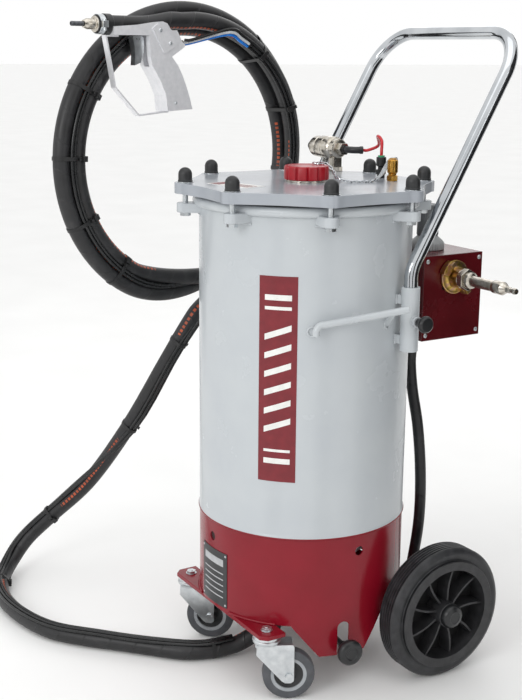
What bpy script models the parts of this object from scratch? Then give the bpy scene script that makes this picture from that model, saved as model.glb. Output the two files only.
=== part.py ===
"""A mobile pressure pot for abrasive blasting, on two wheels and two casters, with its hose and gun.

Metres, +Z up. The pot's axis is the vertical line x = y = 0 of the "machine" empty, its wheel
axle lies along X, the casters are on the -Y side and the push handle leans back towards +Y.
"""

import math

import bmesh
import bpy
from mathutils import Matrix, Vector

for old in list(bpy.data.objects):
    bpy.data.objects.remove(old, do_unlink=True)

# ---------------------------------------------------------------- driving dimensions
GAP = 0.0003  # between faces that touch
ROUND_STEPS = 48  # sides of the largest round pieces

# pot
POT_R = 0.200
POT_WALL = 0.004
SEAM_Z = 0.310
POT_TOP_Z = 0.9154
RIM_ROD_R = 0.009
CONE_TOP_Z = 0.292
OUTLET_R = 0.022
OUTLET_Z = 0.135

# lid, gasket and their bolts
LID_T = 0.020
GASKET_T = 0.004
BOLTS = 8
BOLT_CIRCLE_R = POT_R + 0.026
BOLT_R = 0.005
BOLT_HOLE_R = 0.0056
BOLT_CAP_R = 0.0128
BOLT_CAP_H = 0.027
LOBE_R = 0.0200
LID_MID_R = POT_R + 0.0195
LUG_T = 0.018
LUG_TOP_Z = 0.903

# filler on the lid
FILLER_BORE_R = 0.030
FILLER_NECK_R = 0.0345
FILLER_NECK_H = 0.020
CAP_R = 0.042
CAP_H = 0.0255
CAP_FLUTES = 12

# skirt and chassis
SKIRT_T = 0.003
CASTER_R = 0.049
SKIRT_FRONT_Z = 2 * CASTER_R + 0.0373
SKIRT_REAR_Z = 0.1463
SKIRT_FOOT_Z = 0.073
FOOT_TURN = math.radians(-8.6)
FOOT_HALF = math.radians(13.5)
FOOT_SLOPE = math.radians(15.5)
SKIRT_HOLE_R = 0.009
SKIRT_HOLE_Z = 0.2755
SLOT_W = 0.024
SLOT_TOP_Z = 0.139
BAR_T = 0.008
BAR_W = 0.050

# wheels and axle
WHEEL_R = 0.130
WHEEL_X = POT_R + 0.030
WHEEL_Y = 0.172
TYRE_W = 0.050
RIM_R = 0.0955
RIM_FLANGE_R = 0.1065
RIM_HALF_W = 0.031
WINDOW_R = 0.089
HUB_R = 0.024
RIBS = 9
RIB_HALF = 0.003
RIB_Z = (-0.012, 0.020)
WEB_Z = (-0.014, -0.010)
AXLE_R = 0.010
AXLE_CLEAR = 0.0003
BEAM_HALF = 0.016

# casters
CASTER_X = 0.148
CASTER_Y = 0.168
CASTER_W = 0.024
CASTER_TRAIL = 0.041
CASTER_HEADINGS = {"right": math.radians(62.5), "left": math.radians(50.0)}
PIN_R = 0.004
PIN_HOLE_R = 0.0056

# push handle
HANDLE_X = POT_R + 0.005
HANDLE_Y = 0.0935
HANDLE_R = 0.0125
HANDLE_TOP_Z = 1.212
HANDLE_BEND_Z = 0.797
HANDLE_LEAN = math.radians(30.0)
HANDLE_CORNER_R = 0.085
HANDLE_FOOT_Z = 0.655
SLEEVE_CLEAR = 0.0006
SLEEVE_R = HANDLE_R + 0.0045
SLEEVE_BOSS_R = 0.0095
SLEEVE_Z = (0.648, 0.766)
CLAMP_Z = 0.705

# control box behind the pot
BOX_X = 0.200
BOX_Y = 0.1445
BOX_Z = (0.630, 0.796)
BOX_STANDOFF = 0.0055
SHEET = 0.002
COUPLING_Y = 0.279
COUPLING_Z = 0.752
NIPPLE_TIP_X = 0.279
REGULATOR_X = 0.022
REGULATOR_Y = 0.275

# outlet valve, spindle and tee
SPINDLE_Z = 0.090
TEE_Z = 0.060
TEE_HALF = 0.051

# hose, its coil and the gun
HOSE_R = 0.0165
AIR_HOSE_R = 0.011
COIL_CENTRE = (-0.307, -0.0935, 0.965)
COIL_R = 0.304
COIL_HEADING = math.radians(-81.4)
GUN_AHEAD = 0.120
GUN_ASIDE = 0.0385
BARREL_UP = 0.2555
GUN_HALF_W = 0.0205
HOSE_END = 0.2300
HOSE_STEP = 4.8  # between the rings of a hose, in hose radii
LEAD_STEP = 4.4

# ---------------------------------------------------------------- materials
FINISHES = {
    "pot_paint": ("CDD2D4", 0.35, 0.0),
    "lid_paint": ("A9AFB7", 0.32, 0.0),
    "skirt_paint": ("9B1C2E", 0.40, 0.0),
    "box_paint": ("5C0D15", 0.35, 0.0),
    "red_plastic": ("B8122B", 0.40, 0.0),
    "black_rubber": ("222222", 0.75, 0.0),
    "grey_rubber": ("5E6265", 0.70, 0.0),
    "tyre_rubber": ("2A2A29", 0.80, 0.0),
    "black_plastic": ("1E1F20", 0.50, 0.0),
    "chrome": ("D9DBDD", 0.08, 1.0),
    "zinc": ("B9BEC2", 0.35, 1.0),
    "yellow_zinc": ("B9A36A", 0.35, 1.0),
    "nickel": ("C9C3B8", 0.25, 1.0),
    "brass": ("B98A3C", 0.30, 1.0),
    "steel": ("8A8C8E", 0.40, 1.0),
    "cast_aluminium": ("D5D6DA", 0.38, 1.0),
    "carbide": ("6E7072", 0.55, 1.0),
}


def linear(channel):
    """One sRGB channel, 0 to 1, as linear light."""
    if channel <= 0.04045:
        return channel / 12.92
    return ((channel + 0.055) / 1.055) ** 2.4


def make_material(name):
    colour, roughness, metallic = FINISHES[name]
    channels = [linear(int(colour[i : i + 2], 16) / 255) for i in (0, 2, 4)]
    material = bpy.data.materials.new(name)
    material.use_nodes = True
    shader = material.node_tree.nodes["Principled BSDF"]
    shader.inputs["Base Color"].default_value = (*channels, 1.0)
    shader.inputs["Roughness"].default_value = roughness
    shader.inputs["Metallic"].default_value = metallic
    material.diffuse_color = (*channels, 1.0)
    return material


MATERIALS = {name: make_material(name) for name in FINISHES}


# ---------------------------------------------------------------- building blocks
def empty(name, parent=None, at=(0, 0, 0), turn=(0, 0, 0)):
    item = bpy.data.objects.new(name, None)
    bpy.context.scene.collection.objects.link(item)
    item.parent = parent
    item.location = at
    item.rotation_euler = turn
    return item


MACHINE = empty("machine")


def place(item, parent, at, turn):
    bpy.context.scene.collection.objects.link(item)
    item.parent = parent or MACHINE
    item.location = at
    item.rotation_euler = turn
    return item


def solid(name, bm, finish, at=(0, 0, 0), turn=(0, 0, 0), parent=None):
    """Make an object of a closed bmesh, with its faces pointing out."""
    bmesh.ops.recalc_face_normals(bm, faces=bm.faces)
    if bm.calc_volume(signed=True) < 0:
        bmesh.ops.reverse_faces(bm, faces=bm.faces)
    mesh = bpy.data.meshes.new(name)
    bm.to_mesh(mesh)
    bm.free()
    mesh.materials.append(MATERIALS[finish])
    mesh.shade_smooth()
    mesh.set_sharp_from_angle(angle=math.radians(35))
    return place(bpy.data.objects.new(name, mesh), parent, at, turn)


def turned(profile, steps=32):
    """Turn a closed outline of (radius, height) points about Z."""
    bm = bmesh.new()
    rings = []
    for radius, height in profile:
        if radius < 1e-9:
            rings.append([bm.verts.new((0, 0, height))])
            continue
        angles = [math.tau * i / steps for i in range(steps)]
        rings.append([bm.verts.new((radius * math.cos(a), radius * math.sin(a), height)) for a in angles])
    for lower, upper in zip(rings, rings[1:] + rings[:1]):
        if len(lower) == 1 and len(upper) == 1:
            continue
        for i in range(steps):
            j = (i + 1) % steps
            one, two = lower[i % len(lower)], lower[j % len(lower)]
            three, four = upper[j % len(upper)], upper[i % len(upper)]
            bm.faces.new(list(dict.fromkeys((one, two, three, four))))
    return bm


def pillar(radius, low, high, steps=16):
    return turned([(0, low), (radius, low), (radius, high), (0, high)], steps)


def prism(outline, low, high, bm=None):
    """Extrude a flat outline of (x, y) points from one height to another."""
    bm = bm or bmesh.new()
    base = [bm.verts.new((x, y, low)) for x, y in outline]
    top = [bm.verts.new((x, y, high)) for x, y in outline]
    bm.faces.new(base[::-1])
    bm.faces.new(top)
    for i in range(len(outline)):
        j = (i + 1) % len(outline)
        bm.faces.new((base[i], base[j], top[j], top[i]))
    return bm


def upright(outline, half):
    """Extrude an outline of (x, z) points to both sides of the XZ plane."""
    bm = prism(outline, -half, half)
    bm.transform(Matrix.Rotation(math.radians(90), 4, "X"))
    return bm


def brick(low, high, bm=None):
    outline = [(low[0], low[1]), (high[0], low[1]), (high[0], high[1]), (low[0], high[1])]
    return prism(outline, low[2], high[2], bm)


def circle(radius, steps, start=0.0):
    angles = [start + math.tau * i / steps for i in range(steps)]
    return [(radius * math.cos(a), radius * math.sin(a)) for a in angles]


def smooth_route(points, spacing):
    """Read points about spacing apart from a smooth curve, with one close to each end to keep it square."""
    knots = [Vector(p) for p in points]
    knots = [2 * knots[0] - knots[1]] + knots + [2 * knots[-1] - knots[-2]]
    fine = []
    for a, b, c, d in zip(knots, knots[1:], knots[2:], knots[3:]):
        for i in range(16):
            t = i / 16
            square = (2 * a - 5 * b + 4 * c - d) * t**2
            cube = (3 * b - a - 3 * c + d) * t**3
            fine.append(0.5 * (2 * b + (c - a) * t + square + cube))
    fine.append(knots[-2])
    length = sum((q - p).length for p, q in zip(fine, fine[1:]))
    count = max(2, round(length / spacing))
    route = [fine[0]]
    travelled = 0.0
    for p, q in zip(fine, fine[1:]):
        step = (q - p).length
        while len(route) < count and travelled + step >= length * len(route) / count:
            route.append(p.lerp(q, (length * len(route) / count - travelled) / step))
        travelled += step
    return [route[0], fine[3]] + route[1:] + [fine[-4], fine[-1]]


def tube(name, points, radius, finish, parent=None, rounding=2, at=(0, 0, 0)):
    """A round bar or hose along the points, with capped ends."""
    curve = bpy.data.curves.new(name, "CURVE")
    curve.dimensions = "3D"
    curve.bevel_depth = radius
    curve.bevel_resolution = rounding
    curve.use_fill_caps = True
    spline = curve.splines.new("POLY")
    spline.points.add(len(points) - 1)
    for spot, point in zip(spline.points, points):
        spot.co = (*point, 1.0)
    curve.materials.append(MATERIALS[finish])
    return place(bpy.data.objects.new(name, curve), parent, at, (0, 0, 0))


def as_mesh(item):
    """Turn a curve object into a mesh object, so that it can be cut or joined."""
    bpy.context.view_layer.update()
    name = item.name
    mesh = bpy.data.meshes.new_from_object(item.evaluated_get(bpy.context.evaluated_depsgraph_get()))
    bm = bmesh.new()
    bm.from_mesh(mesh)
    bmesh.ops.remove_doubles(bm, verts=bm.verts, dist=1e-6)
    bm.to_mesh(mesh)
    bm.free()
    bpy.data.objects.remove(item, do_unlink=True)
    return place(bpy.data.objects.new(name, mesh), None, (0, 0, 0), (0, 0, 0))


def boolean(body, tool, operation):
    """Cut a hidden tool out of a body, or join it to the body."""
    tool.display_type = "WIRE"
    tool.hide_render = True
    step = body.modifiers.new(operation.lower(), "BOOLEAN")
    step.operation = operation
    step.solver = "EXACT"
    step.object = tool
    return body


def cut(body, bm, at=(0, 0, 0), turn=(0, 0, 0), parent=None):
    tool = solid(body.name + "_cutter", bm, "steel", at, turn, parent)
    return boolean(body, tool, "DIFFERENCE")


def join(body, bm, at=(0, 0, 0), turn=(0, 0, 0), parent=None):
    tool = solid(body.name + "_addition", bm, "steel", at, turn, parent)
    return boolean(body, tool, "UNION")


def around(count, start=0.0):
    return [start + math.tau * i / count for i in range(count)]


BOLT_ANGLES = around(BOLTS, math.pi / BOLTS)
ALONG_X = (0, math.radians(90), 0)


# ---------------------------------------------------------------- pot
def make_pot():
    rod_centre_z = POT_TOP_Z - RIM_ROD_R
    rod_centre_r = POT_R + 0.003
    arc = [math.radians(a) for a in (-60, -30, 0, 30, 60, 90)]
    rim = []
    for a in arc:
        rim.append((rod_centre_r + RIM_ROD_R * math.cos(a), rod_centre_z + RIM_ROD_R * math.sin(a)))
    inner_r = POT_R - POT_WALL
    bead = 0.0015
    outside = [
        (OUTLET_R, OUTLET_Z - 0.010),
        (OUTLET_R, OUTLET_Z),
        (inner_r, CONE_TOP_Z),
        (inner_r, SEAM_Z - 0.0025),
        (POT_R + bead, SEAM_Z - 0.0025),
        (POT_R + bead, SEAM_Z + 0.0025),
        (POT_R, SEAM_Z + 0.004),
        (POT_R, rod_centre_z - 0.9 * RIM_ROD_R),
    ]
    inside = [
        (inner_r, POT_TOP_Z),
        (inner_r, SEAM_Z),
        (inner_r - POT_WALL, CONE_TOP_Z + POT_WALL),
        (OUTLET_R - POT_WALL, OUTLET_Z + 0.002),
        (OUTLET_R - POT_WALL, OUTLET_Z - 0.010),
    ]
    pot = solid("tank_shell", turned(outside + rim + inside, ROUND_STEPS), "pot_paint")
    lugs = bmesh.new()
    for angle in BOLT_ANGLES:
        root, tip, reach = 0.021, 0.014, BOLT_CIRCLE_R + 0.016
        outline = [(POT_R - 0.002, -root), (reach - 0.008, -tip), (reach, -tip + 0.006)]
        outline += [(x, -y) for x, y in reversed(outline)]
        turn = Matrix.Rotation(angle, 2)
        spots = [tuple(turn @ Vector(p)) for p in outline]
        prism(spots, LUG_TOP_Z - LUG_T, LUG_TOP_Z, lugs)
    join(pot, lugs)
    holes = bmesh.new()
    for angle in BOLT_ANGLES:
        x, y = BOLT_CIRCLE_R * math.cos(angle), BOLT_CIRCLE_R * math.sin(angle)
        ring = [(x + px, y + py) for px, py in circle(BOLT_HOLE_R, 12)]
        prism(ring, LUG_TOP_Z - LUG_T - 0.01, LUG_TOP_Z + 0.004, holes)
    cut(pot, holes)
    return pot


# ---------------------------------------------------------------- lid
LID_Z = POT_TOP_Z + GAP + GASKET_T + GAP
LID_TOP_Z = LID_Z + LID_T


def lid_outline():
    """Eight round lobes, one at each bolt, with shallow waists between them."""
    steps = 12
    half = math.pi / BOLTS
    edge = math.asin(LOBE_R / BOLT_CIRCLE_R) * 0.8
    points = []
    for angle in BOLT_ANGLES:
        for i in range(steps):
            off = -half + 2 * half * i / steps
            if abs(off) <= edge:
                bend = math.sqrt(LOBE_R**2 - (BOLT_CIRCLE_R * math.sin(off)) ** 2)
                radius = BOLT_CIRCLE_R * math.cos(off) + bend
            else:
                lobe_end = BOLT_CIRCLE_R * math.cos(edge) + 0.6 * LOBE_R
                share = (abs(off) - edge) / (half - edge)
                radius = lobe_end + (LID_MID_R - lobe_end) * math.sin(share * math.pi / 2)
            points.append((radius * math.cos(angle + off), radius * math.sin(angle + off)))
    return points


def make_lid():
    lid = solid("lid_plate", prism(lid_outline(), LID_Z, LID_TOP_Z), "lid_paint")
    holes = prism(circle(FILLER_BORE_R, 32), LID_Z - 0.01, LID_TOP_Z + 0.01)
    for angle in BOLT_ANGLES:
        x, y = BOLT_CIRCLE_R * math.cos(angle), BOLT_CIRCLE_R * math.sin(angle)
        ring = [(x + px, y + py) for px, py in circle(BOLT_HOLE_R, 12)]
        prism(ring, LID_Z - 0.01, LID_TOP_Z + 0.01, holes)
    cut(lid, holes)
    low, high = POT_TOP_Z + GAP, POT_TOP_Z + GAP + GASKET_T
    inner, outer = POT_R - POT_WALL, POT_R + 0.003
    ring = [(inner, low), (outer, low), (outer, high), (inner, high)]
    solid("lid_gasket", turned(ring, ROUND_STEPS), "black_rubber")


def make_lid_bolts():
    """Each bolt hangs in its lug and carries a domed rubber cap over its nut."""
    head_z = LUG_TOP_Z - LUG_T - GAP
    cap_z = LID_TOP_Z + GAP
    dome = [math.radians(a) for a in (0, 30, 60)]
    dome_r = BOLT_CAP_R
    straight = BOLT_CAP_H - dome_r
    profile = [(0, head_z - 0.006), (0.0085, head_z - 0.006), (0.0085, head_z), (BOLT_R, head_z), (BOLT_R, cap_z)]
    profile += [(dome_r, cap_z)]
    profile += [(dome_r * math.cos(a), cap_z + straight + dome_r * math.sin(a)) for a in dome]
    profile += [(0, cap_z + BOLT_CAP_H)]
    for number, angle in enumerate(BOLT_ANGLES, 1):
        x, y = BOLT_CIRCLE_R * math.cos(angle), BOLT_CIRCLE_R * math.sin(angle)
        solid(f"lid_bolt_{number}", turned(profile, 12), "zinc", (x, y, 0), (0, 0, angle))


def make_filler():
    low, top = LID_TOP_Z + GAP, LID_TOP_Z + GAP + FILLER_NECK_H
    flange = FILLER_NECK_R + 0.0045
    neck = [(FILLER_BORE_R, low), (flange, low), (flange, low + 0.0035), (FILLER_NECK_R, low + 0.0035)]
    neck += [(FILLER_NECK_R, top), (FILLER_BORE_R, top)]
    solid("filler_neck", turned(neck, 32), "nickel")
    base = low + 0.0035 + GAP
    outline = []
    per_flute = 4
    for i in range(CAP_FLUTES * per_flute):
        radius = CAP_R - (0.0022 if i % per_flute == 0 else 0.0)
        angle = math.tau * i / (CAP_FLUTES * per_flute)
        outline.append((radius * math.cos(angle), radius * math.sin(angle)))
    cap = solid("filler_cap", prism(outline, 0, CAP_H), "red_plastic", (0, 0, base))
    roof = top - base + GAP
    cut(cap, pillar(FILLER_NECK_R + 0.0006, -0.01, roof, 32), (0, 0, base))


# ---------------------------------------------------------------- lid fittings
VALVE_Y = 0.161
VALVE_AXIS_Z = 0.986
VALVE_LEFT_X = -0.230
VALVE_RIGHT_X = -0.108
SAFETY_AT = (0.068, 0.148)
PUSH_AT = (0.012, 0.163)
PUSH_H = 0.040


def make_lid_fittings():
    valve_length = VALVE_RIGHT_X - VALVE_LEFT_X
    profile = [(0, 0), (0.008, 0), (0.008, 0.008), (0.012, 0.010), (0.021, 0.026)]
    profile += [(0.021, 0.040), (0.0195, 0.041), (0.0195, 0.044), (0.0225, 0.046)]
    profile += [(0.0225, 0.088), (0.019, 0.092), (0.019, 0.104), (0.012, 0.108)]
    profile += [(0.012, valve_length), (0, valve_length)]
    valve = solid("exhaust_valve", turned(profile, 18), "nickel", (VALVE_LEFT_X, VALVE_Y, VALVE_AXIS_Z), ALONG_X)
    neck_x = -0.140
    reach = 0.0095
    low = (neck_x - reach, VALVE_Y - reach, LID_TOP_Z + GAP)
    high = (neck_x + reach, VALVE_Y + reach, VALVE_AXIS_Z)
    join(valve, brick(low, high))
    start = Vector((VALVE_RIGHT_X + GAP, VALVE_Y, VALVE_AXIS_Z))
    offsets = ((0, 0, 0), (0.012, 0, 0), (0.022, 0.003, 0), (0.029, 0.010, 0), (0.034, 0.020, 0))
    bend = [start + Vector(offset) for offset in offsets]
    tube("valve_elbow", bend, 0.0075, "black_plastic", rounding=3)
    low = LID_TOP_Z + GAP
    high = low + PUSH_H
    body = [(0, low), (0.0075, low), (0.0075, low + 0.022), (0.0095, low + 0.024), (0.0095, high), (0, high)]
    solid("push_fitting", turned(body, 16), "black_plastic", (*PUSH_AT, 0))
    away = (bend[-1] - bend[-2]).normalized()
    first = bend[-1] + away * GAP
    top = Vector((*PUSH_AT, high + GAP))
    loop = [first, first + away * 0.010, first + away * 0.026 + Vector((0.008, 0, 0.010))]
    loop += [top + Vector((-0.030, 0.012, 0.036)), top + Vector((-0.006, 0.004, 0.030))]
    loop += [top + Vector((0, 0, 0.012)), top]
    tube("signal_tube", smooth_route(loop, 0.007), 0.003, "red_plastic", rounding=2)
    safety = [(0, low), (0.0095, low), (0.0095, low + 0.010), (0.0075, low + 0.012), (0.0100, low + 0.016)]
    safety += [(0.0100, low + 0.038), (0.0080, low + 0.040), (0, low + 0.040)]
    solid("safety_valve", turned(safety, 16), "brass", (*SAFETY_AT, 0))


# ---------------------------------------------------------------- skirt and chassis
def skirt_edge(angle):
    """Height of the skirt's lower edge, with a foot down to the ground side at each wheel."""
    folded = math.atan2(math.sin(angle), math.cos(angle))
    if abs(folded) > math.pi / 2:
        folded = math.copysign(math.pi, folded) - folded
    base = SKIRT_REAR_Z if folded > 0 else SKIRT_FRONT_Z
    off = abs(folded - FOOT_TURN)
    share = min(1.0, max(0.0, (off - FOOT_HALF) / FOOT_SLOPE))
    return SKIRT_FOOT_Z + (base - SKIRT_FOOT_Z) * share


def make_skirt():
    corners = []
    for side in (0, math.pi):
        for off in (-FOOT_HALF - FOOT_SLOPE, -FOOT_HALF, FOOT_HALF, FOOT_HALF + FOOT_SLOPE):
            corners.append((FOOT_TURN + off) if side == 0 else math.pi - FOOT_TURN - off)
    angles = sorted({round(a % math.tau, 9) for a in around(ROUND_STEPS) + corners})
    top = SEAM_Z - 0.0025 - GAP
    outer, inner = POT_R, POT_R - SKIRT_T
    bm = bmesh.new()
    loops = []
    for radius, level in ((outer, None), (outer, top), (inner, top), (inner, None)):
        spots = []
        for a in angles:
            z = skirt_edge(a) if level is None else level
            spots.append(bm.verts.new((radius * math.cos(a), radius * math.sin(a), z)))
        loops.append(spots)
    for one, two in zip(loops, loops[1:] + loops[:1]):
        for i in range(len(angles)):
            j = (i + 1) % len(angles)
            bm.faces.new((one[i], one[j], two[j], two[i]))
    skirt = solid("skirt", bm, "skirt_paint")
    holes = bmesh.new()
    for angle in around(4):
        shaft = pillar(SKIRT_HOLE_R, POT_R - 0.03, POT_R + 0.03, 16)
        outward = Matrix.Translation((0, 0, SKIRT_HOLE_Z)) @ Matrix.Rotation(math.radians(90), 4, "Y")
        shaft.transform(Matrix.Rotation(angle, 4, "Z") @ outward)
        hole = bpy.data.meshes.new("hole")
        shaft.to_mesh(hole)
        shaft.free()
        holes.from_mesh(hole)
    cut(skirt, holes)
    half = SLOT_W / 2
    arch = [math.radians(a) for a in range(0, 181, 30)]
    outline = [(half * math.cos(a), SLOT_TOP_Z - half + half * math.sin(a)) for a in arch]
    outline = [(half, SKIRT_FOOT_Z - 0.02)] + outline + [(-half, SKIRT_FOOT_Z - 0.02)]
    slot = upright(outline, 0.03)
    slot.transform(Matrix.Rotation(math.radians(90), 4, "Z"))
    cut(skirt, slot, (POT_R * math.cos(FOOT_TURN), POT_R * math.sin(FOOT_TURN), 0), (0, 0, FOOT_TURN))


BAR_TOP_Z = SKIRT_FRONT_Z - GAP
BAR_Z = BAR_TOP_Z - BAR_T
RACE_TOP_Z = BAR_Z - GAP


def make_chassis():
    half_x = CASTER_X + 0.027
    chamfer = 0.012
    outline = [(-half_x, -BAR_W / 2 + chamfer), (-half_x + chamfer, -BAR_W / 2), (half_x - chamfer, -BAR_W / 2)]
    outline += [(half_x, -BAR_W / 2 + chamfer), (half_x, BAR_W / 2), (-half_x, BAR_W / 2)]
    bar = solid("front_crossbar", prism(outline, BAR_Z, BAR_TOP_Z), "skirt_paint", (0, -CASTER_Y, 0))
    holes = bmesh.new()
    for x in (-CASTER_X, CASTER_X):
        ring = [(x + px, -CASTER_Y + py) for px, py in circle(PIN_HOLE_R, 12)]
        prism(ring, BAR_Z - 0.01, BAR_TOP_Z + 0.01, holes)
    cut(bar, holes)
    beam_x = WHEEL_X - RIM_HALF_W - 0.006
    low = (-beam_x, WHEEL_Y - BEAM_HALF, WHEEL_R - BEAM_HALF)
    high = (beam_x, WHEEL_Y + BEAM_HALF, WHEEL_R + BEAM_HALF)
    beam = solid("axle_beam", brick(low, high), "skirt_paint")
    cut(beam, pillar(AXLE_R + AXLE_CLEAR, -0.3, 0.3, 24), (0, WHEEL_Y, WHEEL_R), ALONG_X)
    end = WHEEL_X + RIM_HALF_W + 0.001
    solid("rear_axle", pillar(AXLE_R, -end, end, 24), "steel", (0, WHEEL_Y, WHEEL_R), ALONG_X)


# ---------------------------------------------------------------- wheels
def wheel_rim():
    flange_in = TYRE_W / 2 + 0.0005
    ring = [(WINDOW_R, -RIM_HALF_W), (RIM_FLANGE_R, -RIM_HALF_W), (RIM_FLANGE_R, -flange_in - 0.0025)]
    ring += [(RIM_R, -flange_in), (RIM_R, flange_in), (RIM_FLANGE_R, flange_in + 0.0025)]
    ring += [(RIM_FLANGE_R, RIM_HALF_W), (WINDOW_R, RIM_HALF_W)]
    return turned(ring, 32)


def wheel_hub():
    bore = AXLE_R + AXLE_CLEAR
    half = RIM_HALF_W + 0.002
    return turned([(bore, -half), (HUB_R, -half), (HUB_R, half), (bore, half)], 16)


def wheel_web():
    """The closed disc behind the ribs."""
    inner, outer = HUB_R - 0.004, WINDOW_R + 0.003
    low, high = WEB_Z
    return turned([(inner, low), (outer, low), (outer, high), (inner, high)], 32)


def wheel_ribs():
    bm = bmesh.new()
    for angle in around(RIBS, math.radians(90)):
        inner, outer = HUB_R - 0.004, WINDOW_R + 0.003
        outline = [(inner, -RIB_HALF), (outer, -RIB_HALF), (outer, RIB_HALF), (inner, RIB_HALF)]
        turn = Matrix.Rotation(angle, 2)
        prism([tuple(turn @ Vector(p)) for p in outline], *RIB_Z, bm)
    return bm


def make_wheels():
    for side, sign in (("right", 1), ("left", -1)):
        at = (sign * WHEEL_X, WHEEL_Y, WHEEL_R)
        turn = (0, sign * math.radians(90), 0)
        rim = solid(f"wheel_rim_{side}", wheel_rim(), "black_plastic", at, turn)
        join(rim, wheel_hub(), at, turn)
        join(rim, wheel_web(), at, turn)
        join(rim, wheel_ribs(), at, turn)
        half = TYRE_W / 2
        seat = RIM_R + GAP
        tyre = [(seat, -half), (0.118, -half), (0.1265, -half + 0.003), (WHEEL_R, -half + 0.009)]
        tyre += [(radius, -height) for radius, height in reversed(tyre)]
        solid(f"wheel_tyre_{side}", turned(tyre, 40), "tyre_rubber", at, turn)
        low = RIM_HALF_W + 0.002 + GAP
        cap = [(0, low), (HUB_R - 0.0005, low), (HUB_R - 0.0005, low + 0.008), (HUB_R - 0.004, low + 0.0135)]
        cap += [(0.011, low + 0.016), (0, low + 0.0165)]
        solid(f"hub_cap_{side}", turned(cap, 24), "black_plastic", at, turn)


# ---------------------------------------------------------------- casters
def make_caster(side, sign):
    at = (sign * CASTER_X, -CASTER_Y, 0)
    turn = (0, 0, CASTER_HEADINGS[side])
    head = BAR_TOP_Z + GAP
    foot = RACE_TOP_Z - 0.013 + GAP
    bolt = [(0, foot), (PIN_R, foot), (PIN_R, head), (0.0095, head), (0.0095, head + 0.0065), (0, head + 0.0065)]
    solid(f"caster_bolt_{side}", turned(bolt, 12), "zinc", at)
    bore = PIN_R + AXLE_CLEAR
    race = [(bore, RACE_TOP_Z - 0.016), (0.024, RACE_TOP_Z - 0.016), (0.027, RACE_TOP_Z - 0.008)]
    race += [(0.024, RACE_TOP_Z), (bore, RACE_TOP_Z)]
    fork = solid(f"caster_fork_{side}", turned(race, 24), "zinc", at, turn)
    deck = RACE_TOP_Z - 0.014
    arms = bmesh.new()
    inner = CASTER_W / 2 + 0.003
    thick = 0.003
    rear, front = -0.020, CASTER_TRAIL + 0.010
    outline = [(rear, deck), (0.022, deck), (front, CASTER_R + 0.006), (front, CASTER_R - 0.008)]
    outline += [(CASTER_TRAIL - 0.010, CASTER_R - 0.010), (rear, deck - 0.012)]
    for offset in (-inner - thick / 2, inner + thick / 2):
        arm = upright(outline, thick / 2)
        arm.transform(Matrix.Translation((0, offset, 0)))
        plate = bpy.data.meshes.new("arm")
        arm.to_mesh(plate)
        arm.free()
        arms.from_mesh(plate)
    join(fork, arms, at, turn)
    half_deck = inner + thick - 0.0002
    join(fork, brick((rear, -half_deck, deck - 0.003), (0.022, half_deck, deck + 0.001)), at, turn)
    axle = pillar(PIN_R, -inner - thick - 0.004, inner + thick + 0.004, 12)
    axle.transform(Matrix.Translation((CASTER_TRAIL, 0, CASTER_R)) @ Matrix.Rotation(math.radians(90), 4, "X"))
    join(fork, axle, at, turn)
    half = CASTER_W / 2
    hub = inner - GAP
    wheel = [(bore, -hub), (0.010, -hub), (0.012, -half + 0.003), (0.030, -half + 0.004)]
    wheel += [(0.032, -half), (CASTER_R - 0.004, -half), (CASTER_R, -half + 0.005)]
    wheel += [(radius, -height) for radius, height in reversed(wheel)]
    ahead = Matrix.Rotation(CASTER_HEADINGS[side], 3, "Z") @ Vector((CASTER_TRAIL, 0, CASTER_R))
    spot = Vector(at) + ahead
    spin = (math.radians(90), 0, CASTER_HEADINGS[side])
    solid(f"caster_wheel_{side}", turned(wheel, 24), "grey_rubber", spot, spin)


# ---------------------------------------------------------------- push handle
def handle_path():
    """Straight legs, a bend back over the sleeves, and two wide top corners."""
    lean = Vector((0, math.sin(HANDLE_LEAN), math.cos(HANDLE_LEAN)))
    bend_r = 0.06
    bend = []
    for i in range(7):
        a = HANDLE_LEAN * i / 6
        bend.append(Vector((0, bend_r * (1 - math.cos(a)), bend_r * math.sin(a))))
    start = Vector((0, HANDLE_Y, HANDLE_BEND_Z - bend_r * math.tan(HANDLE_LEAN / 2)))
    side = [Vector((0, HANDLE_Y, HANDLE_FOOT_Z))] + [start + p for p in bend]
    rise = (HANDLE_TOP_Z - side[-1].z) / lean.z - HANDLE_CORNER_R
    corner = side[-1] + lean * rise
    path = [Vector((HANDLE_X, p.y, p.z)) for p in side]
    centre = corner + Vector((HANDLE_X - HANDLE_CORNER_R, 0, 0))
    for i in range(9):
        a = math.radians(90) * i / 8
        path.append(centre + HANDLE_CORNER_R * (Vector((math.cos(a), 0, 0)) + lean * math.sin(a)))
    return path + [Vector((-p.x, p.y, p.z)) for p in reversed(path)]


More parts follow.
